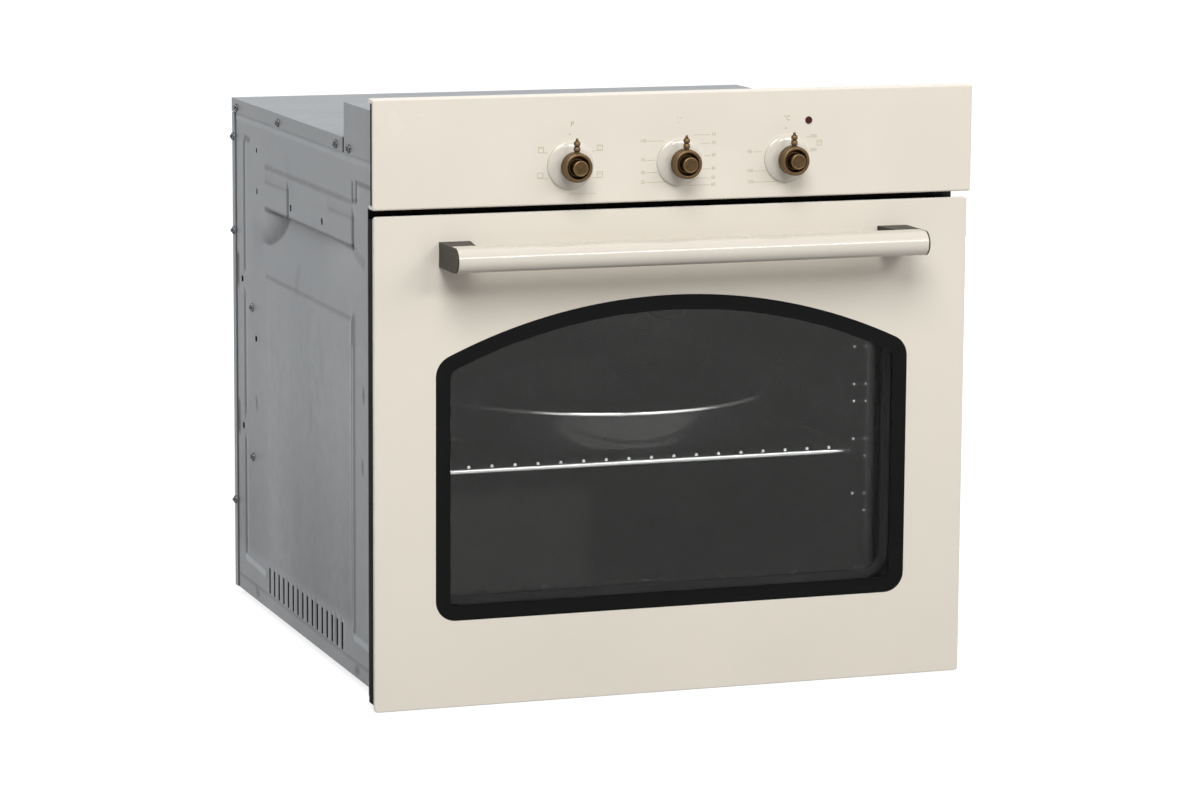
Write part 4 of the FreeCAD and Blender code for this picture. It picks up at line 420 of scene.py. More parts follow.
def turn(builder, profile, place, steps):
    """Turn a profile of pairs (along, radius) in millimetres about an axis; a zero radius closes an end."""
    angles = [2 * math.pi * step / steps for step in range(steps)]
    loops = []
    for along, radius in profile:
        spots = [(0.0, 0.0)]
        if radius:
            spots = [(radius * MM * math.cos(a), radius * MM * math.sin(a)) for a in angles]
        loops.append([builder.verts.new(place(along * MM, u, v)) for u, v in spots])
    for first, second in zip(loops, loops[1:]):
        if len(first) == 1 or len(second) == 1:
            tip, ring = (first[0], second) if len(first) == 1 else (second[0], first)
            for index, vertex in enumerate(ring):
                builder.faces.new((tip, vertex, ring[(index + 1) % steps]))
        else:
            bridge(builder, first, second)


def arc(centre_x, centre_z, radius, start, end, count):
    """Points along an arc, ends included, angles in degrees."""
    points = []
    for step in range(count + 1):
        angle = math.radians(start + (end - start) * step / count)
        points.append((centre_x + radius * math.cos(angle), centre_z + radius * math.sin(angle)))
    return points


def straight(start, end, count):
    """Points along a straight line, ends left out."""
    (x0, z0), (x1, z1) = start, end
    return [(x0 + (x1 - x0) * step / count, z0 + (z1 - z0) * step / count) for step in range(1, count)]


def window_outline(sizes, inset):
    """Arched outline of the window's print, moved in by a distance, anticlockwise from the lower right."""
    half = sizes.window_half - inset
    foot = GLASS_LOW.z + sizes.window_foot + inset
    centre_z = GLASS_LOW.z + sizes.window_apex - sizes.arch_radius
    radius = sizes.arch_radius - inset
    low_round = max(sizes.foot_radius - inset, 4 * MM)
    high_round = max(sizes.shoulder_radius - inset, 6 * MM)
    shoulder_x = half - high_round
    shoulder_z = centre_z + math.sqrt((radius - high_round) ** 2 - shoulder_x**2)
    meet = math.degrees(math.atan2(shoulder_z - centre_z, shoulder_x))
    right = arc(half - low_round, foot + low_round, low_round, -90, 0, CORNER_STEPS)
    right += straight((half, foot + low_round), (half, shoulder_z), UPRIGHT_STEPS)
    right += arc(shoulder_x, shoulder_z, high_round, 0, meet, CORNER_STEPS)
    right += arc(0.0, centre_z, radius, meet, 90, ARCH_STEPS)[1:]
    left = [(-x, z) for x, z in reversed(right[:-1])]
    return right + left + straight((low_round - half, foot), (half - low_round, foot), FOOT_STEPS)


def sheet_outline(corner, inset, count):
    """Rounded outline of the door glass with as many points as the window's outline, in the same order."""
    right, foot, top = GLASS_HIGH.x - inset, GLASS_LOW.z + inset, GLASS_HIGH.z - inset
    bend = max(corner - inset, 0.4 * MM)
    points = arc(right - bend, foot + bend, bend, -90, 0, CORNER_STEPS)
    points += straight((right, foot + bend), (right, top - bend), UPRIGHT_STEPS)
    points += arc(right - bend, top - bend, bend, 0, 90, CORNER_STEPS)
    points += straight((right - bend, top), (0.0, top), ARCH_STEPS) + [(0.0, top)]
    points += [(-x, z) for x, z in reversed(points[:-1])]
    points += straight((bend - right, foot), (right - bend, foot), FOOT_STEPS)
    if len(points) != count:
        raise RuntimeError("the outlines of the glass and of its print differ in number")
    return points


def loop_at(builder, points, y):
    """Loop of vertices at a depth."""
    return [builder.verts.new((x, y, z)) for x, z in points]


# Operators


class OvenStep(bpy.types.Operator):
    """Shared by the steps that dress the oven."""

    bl_options = {"REGISTER", "UNDO"}


class OVEN_OT_finish_nodes(OvenStep):
    """Give every solid of the frame its finish"""

    bl_idname = "oven.finish_nodes"
    bl_label = "Finish the solid pieces"

    def execute(self, context):
        for name, nodes in NODE_FINISHES.items():
            for node in nodes:
                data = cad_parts[node].data
                data.materials.clear()
                data.materials.append(finish(name))
        left = set(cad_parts) - {node for nodes in NODE_FINISHES.values() for node in nodes}
        if left - {"outer_glass"}:
            raise RuntimeError("pieces without a finish: " + ", ".join(sorted(left)))
        return {"FINISHED"}


class OVEN_OT_door_glass(OvenStep):
    """Cut the door glass with its cream print, its black band and its clear arched window"""

    bl_idname = "oven.door_glass"
    bl_label = "Door glass"

    finishes = ("printed_glass", "black_print", "window_glass", "glass_edge")

    def execute(self, context):
        sizes = context.scene.oven_sizes
        builder = bmesh.new()
        band = window_outline(sizes, 0.0)
        clear = window_outline(sizes, sizes.band_width)
        arris = sizes.glass_arris
        faces = []
        for y, inward in ((GLASS_LOW.y, 1), (GLASS_HIGH.y, -1)):
            rims = []
            for inset, depth in ((arris, 0.0), (arris * 0.3, arris * 0.3), (0.0, arris)):
                outline = sheet_outline(sizes.glass_corner, inset, len(band))
                rims.append(loop_at(builder, outline, y + inward * depth))
            outer = loop_at(builder, band, y)
            inner = loop_at(builder, clear, y)
            bridge(builder, rims[0], outer, 0)
            bridge(builder, outer, inner, 1)
            builder.faces.new(inner).material_index = 2
            bridge(builder, rims[0], rims[1], 3)
            bridge(builder, rims[1], rims[2], 3)
            faces.append(rims[2])
        bridge(builder, faces[0], faces[1], 3)
        made = piece("door_glass", mesh_of(builder), "door", self.finishes, 20.0)
        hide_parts("outer_glass")
        return {"FINISHED"}


class OVEN_OT_knobs(OvenStep):
    """Turn the three bronze knobs with their stepped discs and bead pointers"""

    bl_idname = "oven.knobs"
    bl_label = "Knobs"

    # Outline of the knob as pairs (ahead of its back, radius), in millimetres
    disc = (
        (0.0, 0.0), (0.0, 8.6), (0.4, 9.0), (6.6, 9.0), (7.1, 9.4), (7.5, 10.5), (7.6, 13.0), (8.0, 13.7),
        (8.7, 14.0), (11.4, 14.0), (12.0, 13.7), (12.4, 13.0), (13.0, 12.6), (13.6, 13.0), (14.0, 13.5),
        (14.6, 13.75), (18.4, 13.7), (19.3, 13.4), (19.8, 12.8), (20.0, 12.0), (20.0, 11.2), (19.7, 10.5),
        (19.0, 9.9), (17.6, 9.4), (16.2, 9.0), (15.5, 8.3), (15.6, 7.7), (16.2, 7.4), (24.6, 7.4),
        (25.3, 7.35), (25.8, 7.0), (26.0, 6.4), (25.8, 5.9), (25.75, 5.4), (25.8, 0.0),
    )
    # Outline of the pointer as pairs (above the knob's axis, radius), and its place ahead of the knob's back
    beads = (
        (12.6, 0.0), (12.6, 2.2), (13.6, 2.5), (14.4, 2.3), (14.9, 2.7), (15.5, 3.1), (17.2, 3.15),
        (18.3, 2.95), (18.9, 2.4), (19.3, 2.0), (19.7, 2.3), (20.3, 2.85), (21.3, 3.15), (22.4, 3.1),
        (23.4, 2.7), (24.1, 2.0), (24.5, 1.4), (25.0, 1.3), (25.6, 1.4), (26.2, 1.3), (26.7, 0.8),
        (26.9, 0.0),
    )
    pointer_ahead = 13.75

    def execute(self, context):
        for name, bezel, node, body in CONTROLS:
            middle = centre_of(bezel)
            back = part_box(node)[1].y
            stem = back - self.pointer_ahead * MM
            builder = bmesh.new()
            turn(builder, self.disc, lambda along, u, v: (middle.x + u, back - along, middle.z + v), 72)
            turn(builder, self.beads, lambda along, u, v: (middle.x + u, stem + v, middle.z + along), 32)
            made = piece(f"{name}_knob_turned", mesh_of(builder), body, ("bronze_knob",))
            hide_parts(node)
        return {"FINISHED"}


class OVEN_OT_bezels(OvenStep):
    """Turn the domed cream rings behind the knobs"""

    bl_idname = "oven.bezels"
    bl_label = "Rings behind the knobs"

    # Millimetres: upright rim and its ground foot, bore for the spindle, and the crown's dip at the bore
    rim, foot, arris, bore, dip = 1.0, 0.3, 0.4, 6.2, 0.15
    # Part of a circle that the dome's outline takes, in degrees, and its number of runs
    dome_start, dome_end, dome_steps = 4.0, 75.5, 24

    def execute(self, context):
        for name, node, _, _ in CONTROLS:
            low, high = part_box(node)
            middle = (low + high) / 2
            radius = (high.x - low.x) / 2 / MM
            rise = (high.y - low.y) / MM
            dome = (rise - self.rim) / math.sin(math.radians(self.dome_end))
            profile = [(0.0, self.bore), (0.0, radius - self.arris), (self.foot, radius)]
            profile += [
                (self.rim + dome * up, radius * across)
                for across, up in arc(0.0, 0.0, 1.0, self.dome_start, self.dome_end, self.dome_steps)
            ]
            profile += [(rise - self.dip, self.bore), profile[0]]
            builder = bmesh.new()
            turn(builder, profile, lambda along, u, v: (middle.x + u, high.y - along, middle.z + v), 96)
            bmesh.ops.remove_doubles(builder, verts=builder.verts, dist=1e-6)
            mesh = mesh_of(builder)
            made = piece(f"{name}_bezel_domed", mesh, "oven_body", ("cream_gloss",))
            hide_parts(node)
        return {"FINISHED"}


class OVEN_OT_panel_print(OvenStep):
    """Print the plain figures and signs round the knobs"""

    bl_idname = "oven.panel_print"
    bl_label = "Figures on the control panel"

    proud = 0.06 * MM
    # Millimetres: the signs' lines, the leaders, and how far from a knob's middle the signs' leaders end
    line, hair, sign_reach = 0.42, 0.36, 21.5
    # In millimetres from a knob's middle: signs as (x, z, levels of bars), figures as (x, z, reach, text)
    signs = ((-28.5, 15, (0.5,)), (29, 15.5, (0.5, -0.6)), (-29, -9, (-0.6,)), (29, -9.5, (0.1,)))
    minutes = (
        (-36, 20.5, 16, "100"), (-36, 2.6, 24, "75"), (-36, -9, 22, "50"), (-36, -18, 13, "25"),
        (34, 25, 14, "10"), (34, 17, 21, "20"), (34, 5.5, 25, "30"), (34, -7, 22, "40"),
        (34, -15.5, 16, "50"), (34, -22, 8, "60"),
    )
    warmth = (
        (-37, 7.5, 25, "50"), (-37, -10.5, 21, "100"), (-36, -21, 8, "150"), (27, 20.5, 20, "250"),
        (27, 7.5, 24, "200"),
    )

    def figure(self, builder, text, knob, x, z, tall):
        """Add a printed figure at a distance from a knob's middle."""
        curve = bpy.data.curves.new("figure", "FONT")
        curve.body = text
        curve.size = tall
        curve.align_x = "CENTER"
        curve.align_y = "CENTER"
        curve.resolution_u = 3
        curve.extrude = self.proud / 2
        holder = bpy.data.objects.new("figure", curve)
        bpy.context.scene.collection.objects.link(holder)
        bpy.context.view_layer.update()
        mesh = bpy.data.meshes.new_from_object(holder.evaluated_get(bpy.context.evaluated_depsgraph_get()))
        place = Matrix.Translation((knob.x + x * MM, PANEL_FRONT - self.proud / 2, knob.z + z * MM))
        mesh.transform(place @ Matrix.Rotation(math.radians(90), 4, "X"))
        builder.from_mesh(mesh)
        bpy.data.objects.remove(holder)
        bpy.data.curves.remove(curve)
        bpy.data.meshes.remove(mesh)

    def bar(self, builder, knob, x0, z0, x1, z1):
        """Add a printed bar between two corners."""
        corners = [
            (knob.x + x * MM, knob.z + z * MM) for x, z in ((x0, z0), (x1, z0), (x1, z1), (x0, z1))
        ]
        front = loop_at(builder, corners, PANEL_FRONT - self.proud)
        back = loop_at(builder, corners, PANEL_FRONT)
        bridge(builder, front, back)
        builder.faces.new(front)
        builder.faces.new(back)

    def sign(self, builder, knob, x, z, half, bars):
        """Add a square sign with bars in it for a way of heating."""
        line, inner = self.line, half * 0.55
        for edge in (-half, half - line):
            self.bar(builder, knob, x - half, z + edge, x + half, z + edge + line)
            self.bar(builder, knob, x + edge, z - half + line, x + edge + line, z + half - line)
        for level in bars:
            self.bar(builder, knob, x - inner, z + half * level, x + inner, z + half * level + line)

    def leader(self, builder, knob, x0, x1, z):
        """Add a thin line from a figure to its ring."""
        self.bar(builder, knob, min(x0, x1), z, max(x0, x1), z + self.hair)

    def execute(self, context):
        tall = context.scene.oven_sizes.print_height
        builder = bmesh.new()
        left, middle, right = (centre_of(bezel) for _, bezel, _, _ in CONTROLS)
        for x, z, bars in self.signs:
            self.sign(builder, left, x, z, 2.8, bars)
            self.leader(builder, left, x - math.copysign(3, x), math.copysign(self.sign_reach, x), z - 3)
        self.bar(builder, left, -1, -27, 26, -26.75)
        for knob, figures in ((middle, self.minutes), (right, self.warmth)):
            for x, z, reach, text in figures:
                self.figure(builder, text, knob, x, z, tall)
                self.leader(builder, knob, x - math.copysign(3.5, x), math.copysign(reach, x), z - 0.5)
        self.sign(builder, right, 33, 14, 2.5, (0.1,))
        self.figure(builder, "°C", right, 0, 38, tall * 1.5)
        for x, z in ((-2.2, 41.5), (1.4, 41.0), (-0.6, 37.0)):
            self.figure(builder, "•", middle, x, z, tall * 0.9)
        self.figure(builder, "P", left, 2, 38, tall * 1.6)
        for knob in (left, right):
            self.figure(builder, "•", knob, -0.5, 28.5, tall * 1.4)
        piece("panel_print", mesh_of(builder), "oven_body", ("figures",), 0.0)
        return {"FINISHED"}


class OVEN_OT_round_tray(OvenStep):
    """Turn the round enamelled tray on the shelf, with its bright rolled rim"""

    bl_idname = "oven.round_tray"
    bl_label = "Round tray"

    # Millimetres: radius of the rolled rim, gauge of the wall, and how far the wall leans out
    roll, wall, lean = 2.2, 1.2, 14.0
    steps, roll_steps = 128, 16

    def execute(self, context):
        low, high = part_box("round_tray")
        middle = (low + high) / 2
        roll, wall = self.roll, self.wall
        rim = (high.x - low.x) / 2 / MM - roll
        foot = rim - self.lean
        tall = (high.z - low.z) / MM - roll
        outside = (
            (0.0, 0.0), (0.0, foot - 6), (0.5, foot - 3), (2, foot - 0.8), (5, foot + 0.6),
            (tall * 0.5, foot + 5.6), (tall * 0.8, rim - 4.2), (tall, rim - 1.4),
        )
        inside = (
            (tall, rim - 1.4 - wall), (tall * 0.8, rim - 4.2 - wall), (tall * 0.5, foot + 5.6 - wall),
            (6, foot - wall), (wall + 1.2, foot - 3), (wall, foot - 7), (wall, 0.0),
        )
        hoop = [(tall + up, out) for out, up in arc(rim - 0.2, 0.0, roll, 0, 360, self.roll_steps)]

        def place(along, u, v):
            return (middle.x + u, middle.y + v, low.z + along)

        builder = bmesh.new()
        turn(builder, outside + inside, place, self.steps)
        shell = len(builder.faces)
        turn(builder, hoop, place, self.steps)
        bmesh.ops.remove_doubles(builder, verts=builder.verts, dist=1e-7)
        builder.faces.ensure_lookup_table()
        for face in builder.faces[shell:]:
            spot = face.calc_center_median() - Vector((middle.x, middle.y, 0.0))
            if spot.xy.length > (rim + roll * 0.2) * MM:
                face.material_index = 1
        finishes = ("tray_enamel", "rim_steel")
        made = piece("round_tray_turned", mesh_of(builder), "shelf", finishes)
        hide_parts("round_tray")
        return {"FINISHED"}


class OVEN_OT_runner_ends(OvenStep):
    """Round off the runners of the side racks and give them short stop pegs"""

    bl_idname = "oven.runner_ends"
    bl_label = "Ends of the side racks' runners"

    # Heights in millimetres of the runners, and of those that have a peg
    runners = (146, 163, 200, 217, 254, 271, 308)
    pegged = (163, 217, 254, 271, 308)
    # Outlines of an end and of a peg as pairs (along, radius), the wire's middle behind its faces, and the
    # start of the peg's head, where the painted glint starts
    end = ((-1.4, 0.0), (-1.2, 0.7), (-0.6, 1.3), (0.6, 1.6), (1.4, 0.0))
    peg = (
        (0.0, 0.0), (0.0, 0.9), (10.2, 0.9), (10.5, 1.4), (11.2, 1.9), (12.1, 1.9), (13.0, 1.3), (13.5, 0.0),
    )
    wire_middle, peg_head = 2.0, 10.1

    def execute(self, context):
        for name, side in SIDES:
            low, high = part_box(f"{name}_side_rack")
            inner = min(abs(low.x), abs(high.x)) + self.wire_middle * MM
            near = low.y + self.wire_middle * MM
            builder = bmesh.new()
            for height in self.runners:
                turn(
                    builder, self.end,
                    lambda along, u, v: (side * inner + u, low.y + along, height * MM + v), 16,
                )
            for height in self.pegged:
                turn(
                    builder, self.peg,
                    lambda along, u, v: (side * (inner - along), near + u, height * MM + v), 20,
                )
            # Ends and pegs' heads take the bright chrome as painted glints, the rest of the wire the dark
            # chrome as painted shade
            for face in builder.faces:
                spot = face.calc_center_median()
                face.material_index = int(abs(spot.x) < inner - self.peg_head * MM or spot.y < low.y)
            finishes = ("ladder_chrome", "tip_chrome")
            piece(f"{name}_runner_ends", mesh_of(builder), "oven_body", finishes)
        return {"FINISHED"}


class OVEN_OT_side_panels(OvenStep):
    """Press the galvanised sides with beads, hand scoops, holes, vent slots, painted shade and highlight"""

    bl_idname = "oven.side_panels"
    bl_label = "Side panels"

    # Pressed lines: shares of the bead's height and width, painted shade and highlight, run of (y, z) in
    # millimetres
    beads = (
        (-0.6, 1.0, -0.28, ((205, 477), (222, 478), (228, 472), (228, 343))),
        (-0.6, 1.0, -0.26, ((228, 315), (228, 192))),
        (-0.6, 1.0, -0.20, ((228, 165), (228, 44))),
        (0.0, 0.7, 0.09, ((220, 470), (220, 345))),
        (0.0, 0.7, 0.09, ((220, 312), (220, 194))),
        (0.0, 0.7, 0.14, ((220, 163), (220, 46))),
        (0.7, 1.1, 0.26, ((226, 38), (148, 35))),
        (0.6, 1.5, -0.25, ((-179, 345), (-179, 46))),
        (0.0, 0.6, 0.36, ((-179, 316), (-179, 46))),
        (0.7, 1.1, 0.26, ((-184, 38), (-262, 37))),
        (-0.3, 0.9, -0.19, ((142, 456), (-176, 456))),
        (-0.5, 0.8, -0.30, ((-177, 474), (-177, 458), (-190, 458))),
        (-0.5, 0.8, -0.30, ((-190, 460), (-190, 476), (-262, 476))),
        (-0.7, 1.2, -0.36, ((57, 441), (57, 418))),
        (-0.7, 1.2, -0.36, ((-178, 441), (-178, 416))),
        (-0.2, 0.6, -0.15, ((142, 441), (60, 441))),
        (-0.2, 0.6, -0.15, ((-90, 441), (-174, 441))),
        (0.25, 0.8, 0.10, ((256, 496), (-264, 496))),
        (0.0, 0.7, -0.15, ((143, 345), (-174, 345))),
        (0.0, 0.6, -0.15, ((256, 15), (-264, 15))),
    )
    # Painted shadows under the lip, along the rear edge and in the notches, small dark spots and faint
    # smears:
    # share of the bead's width, change of shade, run
    shadows_and_smears = (
        (0.9, -0.42, ((143, 413), (-178, 413))),
        (1.8, -0.16, ((-180, 411), (-215, 402))),
        (1.5, -0.45, ((262, 500), (262, 0))),
        (1.5, -0.42, ((254, 352), (254, 326))),
        (1.5, -0.42, ((254, 196), (254, 170))),
        (2.4, -0.05, ((-61, 320), (-61, 303))),
        (2.6, -0.055, ((-69, 296), (-69, 274))),
        (2.2, -0.045, ((-54, 266), (-54, 250))),
        (1.8, -0.05, ((-29, 236), (-29, 220))),
        (2.4, -0.07, ((23, 364), (25, 350))),
        (2.0, -0.04, ((120, 300), (118, 250))),
        (3.0, -0.03, ((60, 470), (40, 440))),
        (1.1, -0.34, ((-233, 310), (-233, 302))),
        (1.1, -0.34, ((-213, 280), (-214, 273))),
        (1.1, -0.30, ((-209, 211), (-210, 204))),
        (1.1, -0.30, ((-231, 154), (-231, 147))),
        (1.1, -0.30, ((184, 212), (182, 205))),
        (1.3, -0.24, ((188, 10), (181, 8))),
        (1.3, -0.24, ((-192, 8), (-185, 7))),
    )
    # Holes as (y, z, half width, half height)
    holes = (
        (176.6, 469.3, 2.0, 2.2), (175.8, 427.6, 2.2, 2.6), (44.6, 425.3, 2.2, 3.2), (-70.3, 425.4, 2.2, 3.2),
        (237.0, 330.0, 3.4, 2.8), (182.7, 274.5, 3.4, 2.8), (236.0, 176.0, 3.4, 2.8),
    )
    # Vent slots: middle of the first, pitch, number, width, foot and top
    vents = (-138.0, 18.1, 16, 5.0, 17.5, 44.0)
    # Raised field: front, rear, foot and top, and its rise
    field = (-179.0, 143.0, 47.5, 345.0)
    field_rise = 0.6
    # Hand scoop: front, rear, foot and lip, then the middle and half axes of its rounded rear end and the
    # power of their curve
    scoop = (-215.0, 205.0, 348.0, 414.0)
    scoop_end = (147.0, 411.0, 73.0, 34.5)
    scoop_power = 1.6
    # Shade of the plain sheet, how much painted shade darkens the scoop's end and the field's foot, and how
    # much painted light makes the top paler
    plain, gloom_share, foot_share, top_share = 0.5, 0.36, 0.24, 0.035
    # Outer face from the oven's middle, and foot of the slot between the covers
    face_x, gap_foot = 279.5, 500.5
    # Soft lines of the grid over the scoop's end and beside the field, and across a bead in half widths
    fine_y = [75 + 2.5 * step for step in range(40)] + [-175.0, 139.0]
    fine_z = [374 + 2.0 * step for step in range(21)] + [51.5, 341.0]
    across_bead = (0.0, -0.35, 0.35, -0.7, 0.7, -1.0, 1.0)
    # The even lines' spacing, and the room that the soft and the even lines keep from others
    spacing, soft_room, even_room = 7.0, 0.9, 2.2

    @staticmethod
    def ease(amount):
        """Smooth step between 0 and 1."""
        amount = min(max(amount, 0.0), 1.0)
        return amount * amount * (3 - 2 * amount)

    @staticmethod
    def away(run, y, z):
        """Distance from a point to a run of straight lines."""
        best = math.inf
        for (y0, z0), (y1, z1) in zip(run, run[1:]):
            span = (y1 - y0) ** 2 + (z1 - z0) ** 2
            share = min(max(((y - y0) * (y1 - y0) + (z - z0) * (z1 - z0)) / span, 0.0), 1.0)
            best = min(best, math.hypot(y - y0 - share * (y1 - y0), z - z0 - share * (z1 - z0)))
        return best

    def rounding(self, y, z):
        """Place in the scoop's rounded rear end: 0 at its middle, 1 on the edge of the scoop's floor."""
        middle_y, middle_z, half_y, half_z = self.scoop_end
        across = max(middle_y - y, 0.0) / half_y
        down = max(middle_z - z, 0.0) / half_z
        return (across**self.scoop_power + down**self.scoop_power) ** (1 / self.scoop_power)

    def form(self, depth, y, z):
        """Raised field and hand scoop at a point, in millimetres, outwards."""
        near, far, foot, top = self.field
        rise = self.field_rise * self.ease(min(y - near, (far - y) / 15, (z - foot) / 8, top - z) / 4.0)
        front, rear, foot, lip = self.scoop
        if foot < z < lip:
            ends = self.ease((y - front) / 175) * self.ease((rear - y) / 55)
            rise -= depth * (z - foot) / (lip - foot) * ends * self.ease((self.rounding(y, z) - 0.15) / 0.85)
        return rise

    def gloom(self, y, z):
        """Share of the painted shade in the scoop's rounded end at a point, sharp along its front edge."""
        if not 60 < y < 175 or not 370 < z < self.scoop[3]:
            return 0.0
        place = self.rounding(y, z)
        inside = self.ease((place - 0.3) / 0.7) * min(max((1.03 - place) / 0.05, 0.0), 1.0)
        return inside * self.ease((175 - y) / 30)

    def painted_falloff(self, y, z):
        """Painted shade towards the lower front of the field, with painted light that makes the top paler."""
        near, _, foot, _ = self.field
        low = self.ease((300 - z) / 260) * (0.6 + 0.4 * self.ease((150 - y) / 260))
        inside = self.ease((z - foot + 4) / 12) * self.ease((y - near + 4) / 12)
        return self.foot_share * low * (0.35 + 0.65 * inside) - self.top_share * self.ease((z - 310) / 150)

    def marks(self, sizes):
        """Beads, painted shadows and smears: height and half width in millimetres, change of shade, run."""
        tall, wide = sizes.bead_height / MM, sizes.bead_width / MM
        rows = [*self.beads, *((0.0, *dark_run) for dark_run in self.shadows_and_smears)]
        return [(high * tall, share * wide, change, run) for high, share, change, run in rows]

    def pressed(self, sizes, ys, zs):
        """Relief in millimetres and painted shade and highlight, 0 to 1, at every crossing of the grid's
        lines.
        """
        spots = [(y, z) for y in ys for z in zs]
        relief = {spot: self.form(sizes.scoop_depth / MM, *spot) for spot in spots}
        shades = {
            spot: self.plain - self.gloom_share * self.gloom(*spot) - self.painted_falloff(*spot) for spot in spots
        }
        for tall, half, change, run in self.marks(sizes):
            near, far = min(y for y, _ in run) - half, max(y for y, _ in run) + half
            foot, top = min(z for _, z in run) - half, max(z for _, z in run) + half
            for y in (y for y in ys if near < y < far):
                for z in (z for z in zs if foot < z < top):
                    gap = self.away(run, y, z)
                    if gap < half:
                        share = self.ease(1.5 * (1 - gap / half))
                        relief[y, z] += tall * share
                        shades[y, z] += change * share
        return relief, {spot: min(max(value, 0.0), 1.0) for spot, value in shades.items()}

    def spaced(self, low, high, exact, soft):
        """Grid lines between two ends: exact ones, soft ones clear of them, and others evenly apart."""
        found = sorted({round(value, 3) for value in (*exact, low, high) if low <= value <= high})
        count = round((high - low) / self.spacing)
        even = [low + (high - low) * step / count for step in range(count + 1)]
        for room, wanted in ((self.soft_room, soft), (self.even_room, even)):
            for value in wanted:
                if low < value < high and all(abs(value - other) > room for other in found):
                    found.append(round(value, 3))
        return sorted(found)

    def grid_lines(self, sizes, gap):
        """Lines of the grid along the depth and up the height."""
        first, pitch, count, wide, vent_foot, vent_top = self.vents
        lip = self.scoop[3]
        exact_y = [first + pitch * step + end for step in range(count) for end in (-wide / 2, wide / 2)]
        exact_y += [y + end for y, _, half, _ in self.holes for end in (-half, half)] + [*gap]
        exact_z = [vent_foot, vent_top, self.gap_foot, lip - 0.4, lip, lip + 0.4]
        exact_z += [z + end for _, z, _, half in self.holes for end in (-half, half)]
        soft_y, soft_z = self.fine_y[:], self.fine_z[:]
        for _, half, _, run in self.marks(sizes):
            for (y0, z0), (y1, z1) in zip(run, run[1:]):
                upright = abs(y1 - y0) < abs(z1 - z0)
                middle = (y0 + y1) / 2 if upright else (z0 + z1) / 2
                (soft_y if upright else soft_z).extend(middle + half * share for share in self.across_bead)
        return (
            self.spaced(SIDE_LOW.y / MM, SIDE_HIGH.y / MM, exact_y, soft_y),
            self.spaced(SIDE_LOW.z / MM, SIDE_HIGH.z / MM, exact_z, soft_z),
        )

    def screen(self, name, side, behind):
        """Hang a black sheet behind the vent slots of a side, as painted shade in the slots."""
        first, pitch, count, wide, foot, top = self.vents
        near, far = first - wide, first + pitch * count
        corners = ((near, foot - 2), (far, foot - 2), (far, top + 2), (near, top + 2))
        builder = bmesh.new()
        sheets = [
            [builder.verts.new((side * (behind - depth * MM), y * MM, z * MM)) for y, z in corners]
            for depth in (0.05, 0.2)
        ]
        bridge(builder, *sheets)
        for sheet in sheets:
            builder.faces.new(sheet)
        piece(f"{name}_vent_screen", mesh_of(builder), "oven_body", ("black_paint",), 0.0)

    def is_open(self, y, z, gap):
        """Whether a point lies in a vent slot, a hole or the slot between the covers."""
        first, pitch, count, wide, foot, top = self.vents
        if foot < z < top and any(abs(y - first - pitch * step) < wide / 2 for step in range(count)):
            return True
        if any(abs(y - hole_y) < half and abs(z - hole_z) < up for hole_y, hole_z, half, up in self.holes):
            return True
        return gap[0] < y < gap[1] and z > self.gap_foot

    def execute(self, context):
        sizes = context.scene.oven_sizes
        gap = (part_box("control_cover")[1].y / MM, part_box("top_cover")[0].y / MM)
        ys, zs = self.grid_lines(sizes, gap)
        relief, shades = self.pressed(sizes, ys, zs)
        for name, side in SIDES:
            builder = bmesh.new()
            crease = builder.verts.layers.float.new("crease")
            grid = {}
            for y, z in relief:
                grid[y, z] = builder.verts.new((side * (self.face_x + relief[y, z]) * MM, y * MM, z * MM))
                grid[y, z][crease] = shades[y, z]
            for y, far in zip(ys, ys[1:]):
                for z, top in zip(zs, zs[1:]):
                    if not self.is_open((y + far) / 2, (z + top) / 2, gap):
                        builder.faces.new((grid[y, z], grid[far, z], grid[far, top], grid[y, top]))
            loose = [vertex for vertex in builder.verts if not vertex.link_faces]
            bmesh.ops.delete(builder, geom=loose, context="VERTS")
            for face in builder.faces:
                face.normal_update()
                if face.normal.x * side < 0:
                    face.normal_flip()
            # The sheet's cut edges, round its slots and holes and along its rims, take black paint as painted
            # shade
            finishes = ("pressed_sheet", "black_paint")
            mesh = mesh_of(builder, True)
            made = piece(f"{name}_side_pressed", mesh, "oven_body", finishes, 50.0)
            thick = made.modifiers.new("gauge", "SOLIDIFY")
            thick.thickness = sizes.sheet_gauge
            thick.offset = -1.0
            thick.material_offset_rim = 1
            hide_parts(f"{name}_side_panel")
            self.screen(name, side, self.face_x * MM - sizes.sheet_gauge)
        return {"FINISHED"}


